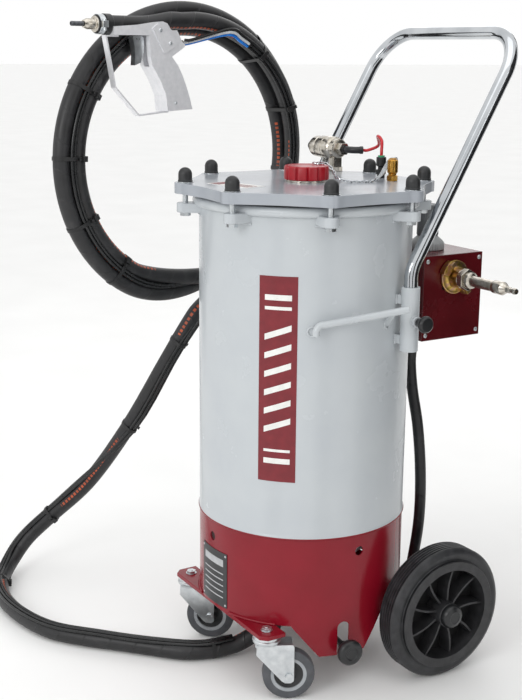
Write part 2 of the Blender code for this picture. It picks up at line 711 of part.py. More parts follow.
def make_handle():
    tube("push_handle", handle_path(), HANDLE_R, "chrome", rounding=3)
    low, high = SLEEVE_Z
    bore = HANDLE_R + SLEEVE_CLEAR
    for side, sign in (("right", 1), ("left", -1)):
        at = (sign * HANDLE_X, HANDLE_Y, 0)
        wall = turned([(bore, low), (SLEEVE_R, low), (SLEEVE_R, high), (bore, high)], 24)
        sleeve = solid(f"handle_sleeve_{side}", wall, "pot_paint", at)
        reach = math.hypot(HANDLE_X, HANDLE_Y)
        heading = math.atan2(HANDLE_Y, sign * HANDLE_X)
        tabs = bmesh.new()
        for z in (low + 0.020, high - 0.024):
            brick((POT_R + GAP, -0.007, z - 0.008), (reach - bore - 0.0015, 0.007, z + 0.008), tabs)
        join(sleeve, tabs, (0, 0, 0), (0, 0, heading))
        out = (0, sign * math.radians(90), 0)
        clamp_at = (sign * HANDLE_X, HANDLE_Y, CLAMP_Z)
        join(sleeve, pillar(SLEEVE_BOSS_R, SLEEVE_R - 0.002, SLEEVE_R + 0.007, 16), clamp_at, out)
        cut(sleeve, pillar(0.0046, HANDLE_R - 0.0025, 0.030, 16), clamp_at, out)
        seat, base = HANDLE_R + GAP, SLEEVE_R + 0.0085
        knob = [(0, seat), (0.0040, seat), (0.0040, base), (0.0075, base + 0.0003), (0.0085, base + 0.0105)]
        knob += [(0.0150, base + 0.0165), (0.0158, base + 0.0215), (0.0135, base + 0.0260), (0, base + 0.0275)]
        solid(f"clamp_knob_{side}", turned(knob, 20), "black_plastic", clamp_at, out)


# ---------------------------------------------------------------- hose hangers
HANGER_R = 0.0065


def make_hanger(side, sign):
    """A bar welded to the pot at one end, braced near its free end."""
    bar = [(0.190, -0.101, 0.692), (0.190, -0.101, 0.706), (0.1935, -0.094, 0.7125), (0.201, -0.080, 0.7150)]
    bar += [(0.232, -0.018, 0.7270), (0.264, 0.045, 0.7400)]
    bar = [Vector((sign * x, y, z)) for x, y, z in bar]
    arm = as_mesh(tube(f"hose_hanger_{side}", bar, HANGER_R, "pot_paint", rounding=2))
    top = bar[-2].lerp(bar[-1], 0.62)
    seat = Vector((sign * 0.1965, 0.052, 0.700))
    brace = as_mesh(tube(f"hose_hanger_{side}_brace", [top, seat], 0.0055, "pot_paint", rounding=2))
    boolean(arm, brace, "UNION")
    cut(arm, pillar(POT_R + GAP, 0.60, 0.80, ROUND_STEPS))


# ---------------------------------------------------------------- control box
BOX_FRONT_Y = POT_R + BOX_STANDOFF
BOX_REAR_Y = BOX_FRONT_Y + BOX_Y


def make_control_box():
    half = BOX_X / 2
    low, high = BOX_Z
    box = solid("control_box", brick((-half, BOX_FRONT_Y, low), (half, BOX_REAR_Y, high)), "box_paint")
    pad = POT_R + GAP
    join(box, brick((-0.028, pad, low + 0.03), (0.028, BOX_FRONT_Y + 0.001, high - 0.03)))
    room_low = (-half + SHEET, BOX_FRONT_Y + SHEET, low + SHEET)
    room_high = (half + 0.01, BOX_REAR_Y - SHEET, high - SHEET)
    cut(box, brick(room_low, room_high))
    sheet = brick((half + GAP, BOX_FRONT_Y, low), (half + GAP + SHEET, BOX_REAR_Y, high))
    cover = solid("box_cover", sheet, "box_paint")
    window_low = (half - 0.01, COUPLING_Y - 0.027, COUPLING_Z - 0.024)
    window_high = (half + 0.01, COUPLING_Y + 0.020, COUPLING_Z + 0.022)
    cut(cover, brick(window_low, window_high))
    base = half + GAP + SHEET + GAP
    body = [(0, 0), (0.033, 0), (0.033, 0.006), (0.020, 0.008), (0.0185, 0.030), (0, 0.030)]
    coupling = solid("inlet_coupling", turned(body, 24), "yellow_zinc", (base, COUPLING_Y, COUPLING_Z), ALONG_X)
    claws = bmesh.new()
    for angle in around(2, math.radians(52)):
        spread = math.radians(24)
        corners = ((0.024, -spread), (0.038, -spread), (0.040, 0), (0.038, spread), (0.024, spread))
        outline = [(r * math.cos(angle + turn), r * math.sin(angle + turn)) for r, turn in corners]
        prism(outline, 0.002, 0.016, claws)
    join(coupling, claws, (base, COUPLING_Y, COUPLING_Z), ALONG_X)
    join(coupling, prism(circle(0.0215, 6), 0.026, 0.044), (base, COUPLING_Y, COUPLING_Z), ALONG_X)
    start = 0.044 + GAP
    tip = NIPPLE_TIP_X - base
    nipple = [(0, start), (0.0155, start), (0.0155, start + 0.010), (0.0105, start + 0.013)]
    nipple += [(0.0105, tip - 0.060), (0.0125, tip - 0.058), (0.0125, tip - 0.034), (0.0060, tip - 0.026)]
    nipple += [(0.0060, tip - 0.016), (0.0048, tip - 0.014), (0.0048, tip - 0.009), (0.0060, tip - 0.007)]
    nipple += [(0.0050, tip), (0, tip)]
    solid("air_nipple", turned(nipple, 14), "nickel", (base, COUPLING_Y, COUPLING_Z), ALONG_X)
    top = high + GAP
    collar = [(0, top), (0.034, top), (0.034, top + 0.013), (0.030, top + 0.017)]
    collar += [(0.0205, top + 0.026), (0, top + 0.026)]
    solid("regulator", turned(collar, 28), "grey_rubber", (REGULATOR_X, REGULATOR_Y, 0))
    low_knob = top + 0.026 + GAP
    knob = [(0, low_knob), (0.0200, low_knob), (0.0215, low_knob + 0.003), (0.0205, low_knob + 0.058)]
    knob += [(0.0185, low_knob + 0.062), (0, low_knob + 0.062)]
    solid("regulator_knob", turned(knob, 24), "black_plastic", (REGULATOR_X, REGULATOR_Y, 0))


# ---------------------------------------------------------------- outlet under the pot
def make_outlet():
    top = OUTLET_Z - 0.010 - GAP
    body = [(0, top), (0.024, top), (0.024, top - 0.010), (0.030, top - 0.016), (0.030, SPINDLE_Z - 0.012)]
    body += [(0.020, SPINDLE_Z - 0.018), (0, SPINDLE_Z - 0.018)]
    valve = solid("outlet_valve", turned(body, 24), "nickel", turn=(0, 0, FOOT_TURN))
    boss_end = 0.052
    aside = (0, math.radians(90), FOOT_TURN)
    join(valve, pillar(0.0120, 0.020, boss_end, 16), (0, 0, SPINDLE_Z), aside)
    cut(valve, pillar(0.0065, 0.036, boss_end + 0.01, 16), (0, 0, SPINDLE_Z), aside)
    neck = 0.0060
    knob = [(0, 0.0365), (neck, 0.0365), (neck, 0.197), (0.0095, 0.199), (0.0100, 0.210), (0.0180, 0.2185)]
    knob += [(0.0235, 0.223), (0.0245, 0.231), (0.0215, 0.237), (0.010, 0.239), (0, 0.239)]
    solid("outlet_knob", turned(knob, 20), "black_plastic", (0, 0, SPINDLE_Z), aside)
    across = pillar(0.0115, -TEE_HALF, TEE_HALF, 16)
    tee = solid("mixing_tee", across, "nickel", (0, 0, TEE_Z), (math.radians(90), 0, 0))
    join(tee, pillar(0.0100, TEE_Z, SPINDLE_Z - 0.018 - GAP, 16))


# ---------------------------------------------------------------- hoses
BLAST_ROUTE = [
    (0.000, -0.0525, 0.0600),
    (0.000, -0.0720, 0.0600),
    (-0.006, -0.100, 0.0440),
    (-0.019, -0.138, 0.0240),
    (-0.033, -0.180, 0.0180),
    (-0.056, -0.232, 0.0170),
    (-0.104, -0.280, 0.0170),
    (-0.158, -0.330, 0.0170),
    (-0.212, -0.382, 0.0170),
    (-0.276, -0.428, 0.0170),
    (-0.358, -0.452, 0.0170),
    (-0.445, -0.459, 0.0170),
    (-0.516, -0.447, 0.0172),
    (-0.572, -0.421, 0.0200),
    (-0.612, -0.385, 0.0370),
    (-0.618, -0.344, 0.0800),
    (-0.592, -0.292, 0.1360),
    (-0.530, -0.224, 0.2265),
    (-0.442, -0.164, 0.3720),
    (-0.372, -0.112, 0.5180),
    (-0.338, -0.070, 0.6120),
    (-0.3315, -0.042, 0.6482),
    (-0.3298, -0.0344, 0.6580),
]
AIR_ROUTE = [
    (0.036, 0.235, 0.6295),
    (0.036, 0.235, 0.6000),
    (0.036, 0.234, 0.5700),
    (0.054, 0.227, 0.5200),
    (0.082, 0.222, 0.4500),
    (0.096, 0.222, 0.3600),
    (0.098, 0.222, 0.2700),
    (0.090, 0.219, 0.1900),
    (0.076, 0.214, 0.1200),
    (0.056, 0.190, 0.0720),
    (0.030, 0.140, 0.0560),
    (0.006, 0.100, 0.0590),
    (0.000, 0.0750, 0.0600),
    (0.000, 0.0525, 0.0600),
]


def make_hoses():
    run = smooth_route(BLAST_ROUTE, HOSE_STEP * HOSE_R)
    tube("blast_hose_run", run, HOSE_R, "black_rubber", rounding=3)
    air = smooth_route(AIR_ROUTE, HOSE_STEP * AIR_HOSE_R)
    tube("air_hose", air, AIR_HOSE_R, "black_rubber", rounding=2)
    outer, inner = COIL_R, COIL_R - 4 * HOSE_R - GAP
    half = HOSE_R
    chamfer = 0.010
    ring = [(inner, -half + chamfer), (inner + chamfer, -half)]
    ring += [(outer - chamfer, -half), (outer, -half + chamfer)]
    ring += [(radius, -height) for radius, height in reversed(ring)]
    standing = (math.radians(90), 0, 0)
    solid("hose_coil", turned(ring, ROUND_STEPS), "black_rubber", (0, 0, 0), standing, HOSE_FRAME)
    arc = []
    for degrees in range(-15, 106, 15):
        a = math.radians(degrees)
        radius = 0.2560 + 0.012 * max(0.0, degrees + 15) / 120
        beside = 2 * HOSE_R + GAP
        aside = beside + (GUN_ASIDE - beside) * min(1.0, (degrees + 15) / 45)
        arc.append(Vector((-radius * math.cos(a), aside, radius * math.sin(a))))
    lead = [p for p in arc if p.x < 0.04]
    for ahead, up in ((0.060, 0.2655), (0.090, 0.2605), (0.120, 0.2565)):
        lead.append(Vector((ahead, GUN_ASIDE, up)))
    for ahead in (0.150, 0.190, HOSE_END):
        lead.append(Vector((ahead, GUN_ASIDE, BARREL_UP)))
    route = smooth_route(lead, LEAD_STEP * HOSE_R)
    tube("hose_lead", [HOSE_MATRIX @ p for p in route], HOSE_R, "black_rubber", rounding=3)
    return route


# ---------------------------------------------------------------- gun
GUN_BODY = [
    (0.0830, -0.0190),
    (0.0830, -0.0040),
    (0.0300, 0.0000),
    (-0.0059, 0.0052),
    (-0.0271, 0.0072),
    (-0.0380, 0.0035),
    (-0.0460, -0.0075),
    (-0.0507, -0.0093),
    (-0.0604, -0.0085),
    (-0.0723, -0.0300),
    (-0.0795, -0.0356),
    (-0.0783, -0.0395),
    (-0.0478, -0.0579),
    (-0.0621, -0.0742),
    (-0.0735, -0.0950),
    (-0.0813, -0.1131),
    (-0.0895, -0.1350),
    (-0.0959, -0.1575),
    (-0.0368, -0.1605),
    (-0.0336, -0.1299),
    (-0.0208, -0.1028),
    (-0.0023, -0.0742),
    (0.0010, -0.0590),
    (0.0041, -0.0346),
    (0.0040, -0.0190),
]
TRIGGER_PIVOT = (0.0155, -0.0240)
TRIGGER = [
    (0.0230, -0.0196),
    (0.0330, -0.0215),
    (0.0290, -0.0400),
    (0.0278, -0.0591),
    (0.0290, -0.0741),
    (0.0150, -0.0690),
    (0.0085, -0.0515),
    (0.0075, -0.0300),
    (0.0095, -0.0222),
    (0.0125, -0.0202),
]
GUARD = [
    (0.0640, -0.0208),
    (0.0910, -0.0208),
    (0.0726, -0.1143),
    (0.0205, -0.1674),
    (-0.0368, -0.1624),
    (-0.0480, -0.1618),
]
COVER = [
    (-0.0022, -0.0060),
    (-0.0287, -0.0513),
    (-0.0340, -0.0510),
    (-0.0600, -0.0349),
    (-0.0470, -0.0110),
    (-0.0360, 0.0010),
    (-0.0150, 0.0030),
]


def strip_outline(path, thickness):
    """The outline of a flat strip that follows a bent path."""
    points = [Vector(p) for p in path]
    left, right = [], []
    for i, point in enumerate(points):
        before = (point - points[i - 1]).normalized() if i else (points[1] - point).normalized()
        after = (points[i + 1] - point).normalized() if i + 1 < len(points) else before
        along = (before + after).normalized()
        across = Vector((-along.y, along.x)) * (thickness / 2 / max(0.5, along.dot(before)))
        left.append(tuple(point + across))
        right.append(tuple(point - across))
    return left + right[::-1]


def make_gun(hose_route):
    gun_at = (GUN_AHEAD, GUN_ASIDE, BARREL_UP)
    body = solid("gun_body", upright(GUN_BODY, GUN_HALF_W), "cast_aluminium", gun_at, (0, 0, 0), HOSE_FRAME)
    groove = as_mesh(tube("gun_body_groove", hose_route, HOSE_R + 0.0005, "steel", rounding=3))
    groove.parent = HOSE_FRAME
    boolean(body, groove, "DIFFERENCE")
    pocket = 0.0085
    cut(body, brick((-0.014, -pocket, -0.0765), (0.012, pocket, -0.0210)), gun_at, (0, 0, 0), HOSE_FRAME)
    cover_at = (GUN_AHEAD, GUN_ASIDE + GUN_HALF_W + GAP + 0.001, BARREL_UP)
    solid("gun_cover", upright(COVER, 0.001), "cast_aluminium", cover_at, (0, 0, 0), HOSE_FRAME)
    pivot_at = (GUN_AHEAD + TRIGGER_PIVOT[0], GUN_ASIDE, BARREL_UP + TRIGGER_PIVOT[1])
    outline = [(x - TRIGGER_PIVOT[0], z - TRIGGER_PIVOT[1]) for x, z in TRIGGER]
    solid("trigger", upright(outline, pocket - 0.0012), "chrome", pivot_at, (0, 0, 0), HOSE_FRAME)
    guard = upright(strip_outline(GUARD, 0.003), 0.007)
    solid("gun_guard", guard, "cast_aluminium", gun_at, (0, 0, 0), HOSE_FRAME)
    holder_at = (HOSE_END + GAP, GUN_ASIDE, BARREL_UP)
    holder = [(0, 0), (0.0150, 0), (0.0150, 0.003), (0.0098, 0.005), (0.0098, 0.020)]
    holder += [(0.0070, 0.026), (0, 0.026)]
    solid("nozzle_holder", turned(holder, 20), "nickel", holder_at, ALONG_X, HOSE_FRAME)
    nozzle = [(0.0018, 0.0263), (0.0044, 0.0263), (0.0044, 0.052), (0.0018, 0.052)]
    solid("nozzle", turned(nozzle, 16), "carbide", holder_at, ALONG_X, HOSE_FRAME)


# ---------------------------------------------------------------- assembly
HOSE_FRAME = empty("hose_frame", MACHINE, COIL_CENTRE, (0, 0, COIL_HEADING))
HOSE_MATRIX = Matrix.Translation(COIL_CENTRE) @ Matrix.Rotation(COIL_HEADING, 4, "Z")

make_pot()
make_lid()
make_lid_bolts()
make_filler()
make_lid_fittings()
make_skirt()
make_chassis()
make_wheels()
for caster_side, caster_sign in (("right", 1), ("left", -1)):
    make_caster(caster_side, caster_sign)
make_handle()
for hanger_side, hanger_sign in (("right", 1), ("left", -1)):
    make_hanger(hanger_side, hanger_sign)
make_control_box()
make_outlet()
make_gun(make_hoses())

# The row's origin is on the floor under the middle of everything except the hoses.
bpy.context.view_layer.update()
HOSES = ("blast_hose_run", "hose_coil", "hose_lead")
corners = []
for item in bpy.context.scene.objects:
    if item.type in ("MESH", "CURVE") and not item.hide_render and item.name not in HOSES:
        shape = item.evaluated_get(bpy.context.evaluated_depsgraph_get())
        mesh = shape.to_mesh()
        corners += [item.matrix_world @ v.co for v in mesh.vertices]
        shape.to_mesh_clear()
centre = [(min(c[i] for c in corners) + max(c[i] for c in corners)) / 2 for i in (0, 1)]
MACHINE.location = (-centre[0], -centre[1], 0)
print("machine empty at", [round(v, 5) for v in MACHINE.location], "lowest point", min(c[2] for c in corners))
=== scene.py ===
# %% [markdown]
# # A mobile blasting pot, made to look like the real one
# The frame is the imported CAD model: its pieces have the right size and place, but they are plain.
# Here each piece gets its own finer mesh, and a finish that starts from what the real one is made of.

# %% Load the frame
import math

import bmesh
import bpy
from mathutils import Matrix, Vector


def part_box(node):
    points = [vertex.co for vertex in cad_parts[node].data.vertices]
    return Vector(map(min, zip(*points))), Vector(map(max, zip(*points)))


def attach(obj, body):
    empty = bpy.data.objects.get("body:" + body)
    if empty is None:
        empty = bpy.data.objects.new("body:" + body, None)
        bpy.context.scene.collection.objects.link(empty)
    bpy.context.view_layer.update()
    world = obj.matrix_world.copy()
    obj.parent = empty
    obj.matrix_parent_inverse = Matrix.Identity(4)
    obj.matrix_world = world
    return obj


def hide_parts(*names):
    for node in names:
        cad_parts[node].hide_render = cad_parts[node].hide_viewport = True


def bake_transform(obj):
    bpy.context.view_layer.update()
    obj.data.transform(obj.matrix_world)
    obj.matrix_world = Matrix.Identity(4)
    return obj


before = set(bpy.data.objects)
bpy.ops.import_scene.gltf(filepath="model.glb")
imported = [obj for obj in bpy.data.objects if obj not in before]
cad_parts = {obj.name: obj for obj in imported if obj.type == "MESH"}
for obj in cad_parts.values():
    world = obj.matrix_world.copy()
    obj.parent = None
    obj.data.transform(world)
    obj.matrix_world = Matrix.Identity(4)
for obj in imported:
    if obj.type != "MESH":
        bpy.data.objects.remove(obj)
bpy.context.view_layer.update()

# %% [markdown]
# The pot is round, so everything is measured from its axis. The lid gasket is a plain ring on that axis,
# and the middle of its box is the pot's middle.

# %% The pot's axis
gasket_low, gasket_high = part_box("lid_gasket")
AXIS = Vector(((gasket_low.x + gasket_high.x) / 2, (gasket_low.y + gasket_high.y) / 2, 0))
LID_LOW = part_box("lid_plate")[0].z
LID_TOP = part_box("lid_plate")[1].z
POT_R = 0.200
GAP = 0.0003
QUARTER = math.radians(90)
print(f"pot axis at {AXIS.x:.4f}, {AXIS.y:.4f}; lid top at {LID_TOP:.4f}")

# %% [markdown]
# ## Camera
# A person stands beside the pot and looks a little down on it. The lens is a short telephoto, which
# keeps the sides of the pot nearly parallel. The camera is made first, so that the view is settled.

# %% Camera
HEADING = math.radians(148.65)
PITCH = math.radians(-13.75)
ROLL = math.radians(0.51)
lens = bpy.data.cameras.new("camera")
lens.lens = 62.98
camera = bpy.data.objects.new("camera", lens)
bpy.context.scene.collection.objects.link(camera)
level = math.cos(PITCH)
forward = Vector((math.cos(HEADING) * level, math.sin(HEADING) * level, math.sin(PITCH)))
aim = forward.to_track_quat("-Z", "Y").to_matrix().to_4x4()
standpoint = AXIS + Vector((1.913, -1.261, 1.176))
camera.matrix_world = Matrix.Translation(standpoint) @ aim @ Matrix.Rotation(ROLL, 4, "Z")
bpy.context.scene.camera = camera
print("camera at", [round(v, 3) for v in standpoint], "right", camera.matrix_world.col[0][:3])

# %% [markdown]
# ## Two helpers for materials
# Colours are written as sRGB hex values, as on a paint chart. Blender works in linear light, so one
# function turns them. The other adds a shader node: a plain value goes to the socket, a pair of
# (node, output) becomes a link, and a colour ramp also takes its stops.


# %% Colours and nodes
def linear(hex_colour):
    channels = [int(hex_colour[i : i + 2], 16) / 255 for i in (0, 2, 4)]
    return [c / 12.92 if c <= 0.04045 else ((c + 0.055) / 1.055) ** 2.4 for c in channels] + [1.0]


def add(material, kind, inputs=None, stops=(), **settings):
    tree = material.node_tree
    node = tree.nodes.new("ShaderNode" + kind)
    for name, value in settings.items():
        setattr(node, name, value)
    for name, value in (inputs or {}).items():
        if isinstance(value, tuple) and isinstance(value[0], bpy.types.Node):
            tree.links.new(value[0].outputs[value[1]], node.inputs[name])
        else:
            node.inputs[name].default_value = value
    if stops:
        band = node.color_ramp.elements
        band.remove(band[1])
        band[0].position = stops[0][0]
        band[0].color = linear(stops[0][1])
        for place, hex_colour in stops[1:]:
            band.new(place).color = linear(hex_colour)
    return node


def empty_material(name):
    material = bpy.data.materials.new(name)
    material.use_nodes = True
    material.node_tree.nodes.clear()
    return material


print("mid grey in linear light:", round(linear("808080")[0], 3))

# %% [markdown]
# ## What nearly every surface has
# Three things keep a surface from looking like a computer's: its colour drifts over patches, its gloss
# drifts over smudges, and its skin has a grain. Each has its own real size, given here in millimetres
# and measured on the piece itself, so the pattern stays with the piece when it moves.


# %% A weathered surface
def surface(name, stops, roughness, patch=20.0, smudge=9.0, grain=1.0, depth=0.02, **constants):
    material = empty_material(name)
    spot = add(material, "TexCoord")
    here = (spot, "Object")
    drift = add(material, "TexNoise", {"Vector": here, "Scale": 1000 / patch, "Detail": 3.0})
    colour = add(material, "ValToRGB", {"Fac": (drift, "Fac")}, stops)
    smears = add(material, "TexNoise", {"Vector": here, "Scale": 1000 / smudge, "Detail": 5.0})
    low, high = max(0.02, roughness - 0.08), roughness + 0.10
    gloss = add(material, "MapRange", {"Value": (smears, "Fac"), "To Min": low, "To Max": high})
    skin = add(material, "TexNoise", {"Vector": here, "Scale": 1000 / grain, "Detail": 2.0})
    bump = add(material, "Bump", {"Height": (skin, "Fac"), "Strength": 0.6, "Distance": depth / 1000})
    inputs = {"Base Color": (colour, "Color"), "Roughness": (gloss, "Result"), "Normal": (bump, "Normal")}
    inputs.update({socket.replace("_", " "): value for socket, value in constants.items()})
    shader = add(material, "BsdfPrincipled", inputs)
    add(material, "OutputMaterial", {"Surface": (shader, "BSDF")})
    return material
print("a patch of 20 mm is a noise scale of", 1000 / 20)


# %% [markdown]
# ## Stoved enamel
# The pot, lid, skirt and box are welded steel, sprayed and baked. Enamel is a dielectric with an IOR near
# 1.5 and a glossy skin. Its orange peel is a set of low waves some 6 mm across, which make reflections
# swim, and its colour drifts over a hand's breadth with the thickness of the coat.

# %% Enamels
def enamel(name, hex_thin, hex_full, roughness, peel_depth=0.05, ior=1.5):
    stops = ((0.35, hex_thin), (0.65, hex_full))
    sizes = {"patch": 90.0, "smudge": 70.0, "grain": 6.0, "depth": peel_depth}
    return surface(name, stops, roughness, **sizes, IOR=ior, Coat_Weight=0.1, Coat_Roughness=0.08)


POT_ENAMEL = enamel("light grey stoved enamel", "B6BBBF", "BABFC2", 0.24, 0.03)
LID_ENAMEL = enamel("blue grey stoved enamel", "9DA2A9", "A4A9AF", 0.22, 0.03)
SKIRT_ENAMEL = enamel("crimson stoved enamel", "7C0C1C", "840E20", 0.22, 0.03, 1.38)
BOX_ENAMEL = enamel("dark red powder coat", "4C070E", "570A13", 0.24, 0.09)
print("enamels ready")

# %% [markdown]
# ## Metals
# A metal's base colour tints what it reflects, and its roughness says how finely it was worked. Zinc
# plate is bright with soft clouds. Yellow passivated iron drifts from straw to pink and green. Nickel is
# warmer and smoother. Chrome is close to a mirror, and only long low waves from polishing give it away.

# %% Metals
ZINC = surface("bright zinc plate", ((0.3, "C6CBCE"), (0.7, "DFE3E5")), 0.30, 14, 12, 0.8, Metallic=1.0)
STRAW, ROSE, OLIVE = "C4A55A", "B58C74", "8E9A66"
yellow_stops = ((0.3, "86702F"), (0.45, STRAW), (0.6, ROSE), (0.75, OLIVE))
YELLOW_ZINC = surface("yellow passivated iron", yellow_stops, 0.30, 11, 7, 1.0, 0.04, Metallic=1.0)
NICKEL = surface("nickel plated brass", ((0.3, "ADA699"), (0.7, "D6D1C8")), 0.22, 9, 5, 0.6, Metallic=1.0)
BRASS = surface("turned brass", ((0.3, "A5762B"), (0.7, "D2A657")), 0.26, 7, 5, 0.6, Metallic=1.0)
STEEL = surface("drawn steel bar", ((0.3, "76787A"), (0.7, "96989A")), 0.36, 10, 6, 0.6, Metallic=1.0)
CHROME = surface(
    "polished chrome plate", ((0.3, "B4B8BC"), (0.7, "D0D3D6")), 0.10, 60, 9, 30, 0.05, Metallic=1.0,
)
CASTING = surface(
    "tumbled aluminium casting", ((0.3, "E2E3E6"), (0.7, "EDEDF0")), 0.38, 9, 6, 1.0, 0.05, Metallic=0.45,
)
CARBIDE = surface("sintered carbide", ((0.3, "55575B"), (0.7, "77797E")), 0.50, 5, 3, 0.6, 0.04, Metallic=1.0)
WIRE = surface(
    "stainless wire braid", ((0.35, "707478"), (0.65, "C9CCCE")), 0.34, 1.5, 4, 0.9, 0.10, Metallic=1.0,
)
print("metals ready")

# %% [markdown]
# ## Rubber and moulded plastic
# Rubber is matt, and a dusty bloom lifts its colour in patches. Moulded plastic is smoother, and its skin
# copies the fine spark-eroded grain of the mould.


# %% Rubber and plastic
def moulded(name, hex_colour, hex_bloom, roughness, grain=0.8, depth=0.03, **constants):
    stops = ((0.35, hex_colour), (0.75, hex_bloom))
    return surface(name, stops, roughness, 16.0, 8.0, grain, depth, IOR=1.5, **constants)


CAP_RUBBER = moulded("black vinyl cap", "202122", "303132", 0.42)
SEAL_RUBBER = moulded("black gasket rubber", "1E1F20", "2C2D2E", 0.55)
TYRE_RUBBER = moulded("black tyre rubber", "1F2022", "333336", 0.44, 1.5, 0.06)
CASTER_TREAD = moulded("grey thermoplastic rubber", "45474B", "55575B", 0.50)
CASTER_HUB = moulded("light grey polypropylene", "94989C", "A4A8AB", 0.42)
WHEEL_PLASTIC = moulded("black polypropylene", "252527", "363638", 0.46, 1.2, 0.05)
# The wheel's web gets a near-black copy of the wheel's own plastic: painted shade for its recess.
WEB_PAINTED_SHADE = moulded("black polypropylene darkened as painted shade", "0C0C0D", "131314", 0.60)
KNOB_PLASTIC = moulded("black phenolic", "1B1C1E", "272829", 0.30)
RED_PLASTIC = moulded("red polyamide", "98091A", "A61222", 0.30)
GREY_PLASTIC = moulded("grey acetal", "626567", "747779", 0.46)
COLLAR_GREY = moulded("pale grey acetal", "989A9B", "ACADAD", 0.45)
GREEN_PLASTIC = moulded("green release ring", "2A9A69", "3AB07E", 0.35)
BLUE_TUBE = moulded("blue polyurethane tube", "0F6FCC", "1D80DC", 0.25)
RED_TUBE = moulded("red polyurethane tube", "B81722", "C82730", 0.25)
CLEAR_TUBE = moulded("milky polyurethane tube", "BFC2C4", "D3D5D6", 0.22)
BLACK_TUBE = moulded("black polyurethane tube", "141516", "202122", 0.28)
TIE_NYLON = moulded("black nylon strap", "121213", "1D1D1E", 0.38)
LABEL_RED = moulded("dark red printed vinyl", "6F1721", "7C1C26", 0.40)
LABEL_WHITE = moulded("white printing ink", "DCDCD8", "E8E8E5", 0.42)
PLATE_BLACK = moulded("black etched plate", "2A2B2D", "333436", 0.36)
PLATE_LINE = moulded("bare aluminium of the plate", "A9ABAD", "B9BBBD", 0.36)
print("rubbers and plastics ready")

# %% [markdown]
# ## Wrapped blast hose
# The hose is cured inside a spiral of wet nylon tape. When the tape comes off it leaves a slanted seam
# every 55 mm and a faint print of its cloth, and the maker prints a line along one side. The hose mesh
# carries a map named "along": U is metres along the hose, V is turns round it. So the spiral seam is a
# straight line across U and V, and the printed line is a row of dashes at one V.

# %% Hose rubber
SEAM_PITCH = 0.055
DASH_PITCH = 0.0095
WORDS_PITCH = 0.52
PRINT_TURN = 0.82
PRINT_HALF = 0.030
DASH_SHARE, WORDS_SHARE = 0.6, 0.45
SCUFF_MM, CLOTH_MM = 30, 1.8


def hose_rubber(name, printed):
    material = empty_material(name)
    spot = add(material, "UVMap", uv_map="along")
    axes = add(material, "SeparateXYZ", {"Vector": (spot, "UV")})
    turns = add(material, "Math", {0: (axes, "X"), 1: 1 / SEAM_PITCH}, operation="MULTIPLY")
    spiral = add(material, "Math", {0: (turns, "Value"), 1: (axes, "Y")}, operation="ADD")
    saw = add(material, "Math", {0: (spiral, "Value")}, operation="FRACT")
    tape = ((0.0, "FFFFFF"), (0.06, "6A6A6A"), (0.92, "5A5A5A"), (0.97, "000000"), (1.0, "FFFFFF"))
    ridge = add(material, "ValToRGB", {"Fac": (saw, "Value")}, tape)
    here = (add(material, "TexCoord"), "Object")
    scuffs = add(material, "TexNoise", {"Vector": here, "Scale": 1000 / SCUFF_MM, "Detail": 6.0})
    rubber = add(
        material, "ValToRGB", {"Fac": (scuffs, "Fac")}, ((0.3, "161617"), (0.6, "222224"), (0.85, "3A3939")),
    )
    colour = (rubber, "Color")
    if printed:
        steps = add(material, "Math", {0: (axes, "X"), 1: 1 / DASH_PITCH}, operation="MULTIPLY")
        step = add(material, "Math", {0: (steps, "Value")}, operation="FRACT")
        dash = add(material, "Math", {0: (step, "Value"), 1: DASH_SHARE}, operation="LESS_THAN")
        off_line = add(material, "Math", {0: (axes, "Y"), 1: PRINT_TURN}, operation="SUBTRACT")
        far = add(material, "Math", {0: (off_line, "Value")}, operation="ABSOLUTE")
        line = add(material, "Math", {0: (far, "Value"), 1: PRINT_HALF}, operation="LESS_THAN")
        phrases = add(material, "Math", {0: (axes, "X"), 1: 1 / WORDS_PITCH}, operation="MULTIPLY")
        phrase = add(material, "Math", {0: (phrases, "Value")}, operation="FRACT")
        printed_here = add(material, "Math", {0: (phrase, "Value"), 1: WORDS_SHARE}, operation="LESS_THAN")
        dashes = add(material, "Math", {0: (dash, "Value"), 1: (printed_here, "Value")}, operation="MULTIPLY")
        ink = add(material, "Math", {0: (dashes, "Value"), 1: (line, "Value")}, operation="MULTIPLY")
        worn = add(material, "Math", {0: (ink, "Value"), 1: (scuffs, "Fac")}, operation="MULTIPLY")
        mixed = {"Factor": (worn, "Value"), 6: (rubber, "Color"), 7: linear("E8622A")}
        colour = (add(material, "Mix", mixed, data_type="RGBA"), 2)
    cloth = add(material, "TexNoise", {"Vector": here, "Scale": 1000 / CLOTH_MM, "Detail": 3.0})
    gloss = add(material, "MapRange", {"Value": (scuffs, "Fac"), "To Min": 0.32, "To Max": 0.54})
    fine = add(material, "Bump", {"Height": (cloth, "Fac"), "Strength": 0.5, "Distance": 0.0001})
    wrapped = {"Height": (ridge, "Color"), "Strength": 0.8, "Distance": 0.0007, "Normal": (fine, "Normal")}
    seam = add(material, "Bump", wrapped)
    inputs = {"Base Color": colour, "Roughness": (gloss, "Result"), "Normal": (seam, "Normal"), "IOR": 1.5}
    shader = add(material, "BsdfPrincipled", inputs)
    add(material, "OutputMaterial", {"Surface": (shader, "BSDF")})
    return material


BLAST_RUBBER = hose_rubber("wrapped blast hose rubber", True)
AIR_RUBBER = hose_rubber("wrapped air hose rubber", False)
print("hose rubber ready")
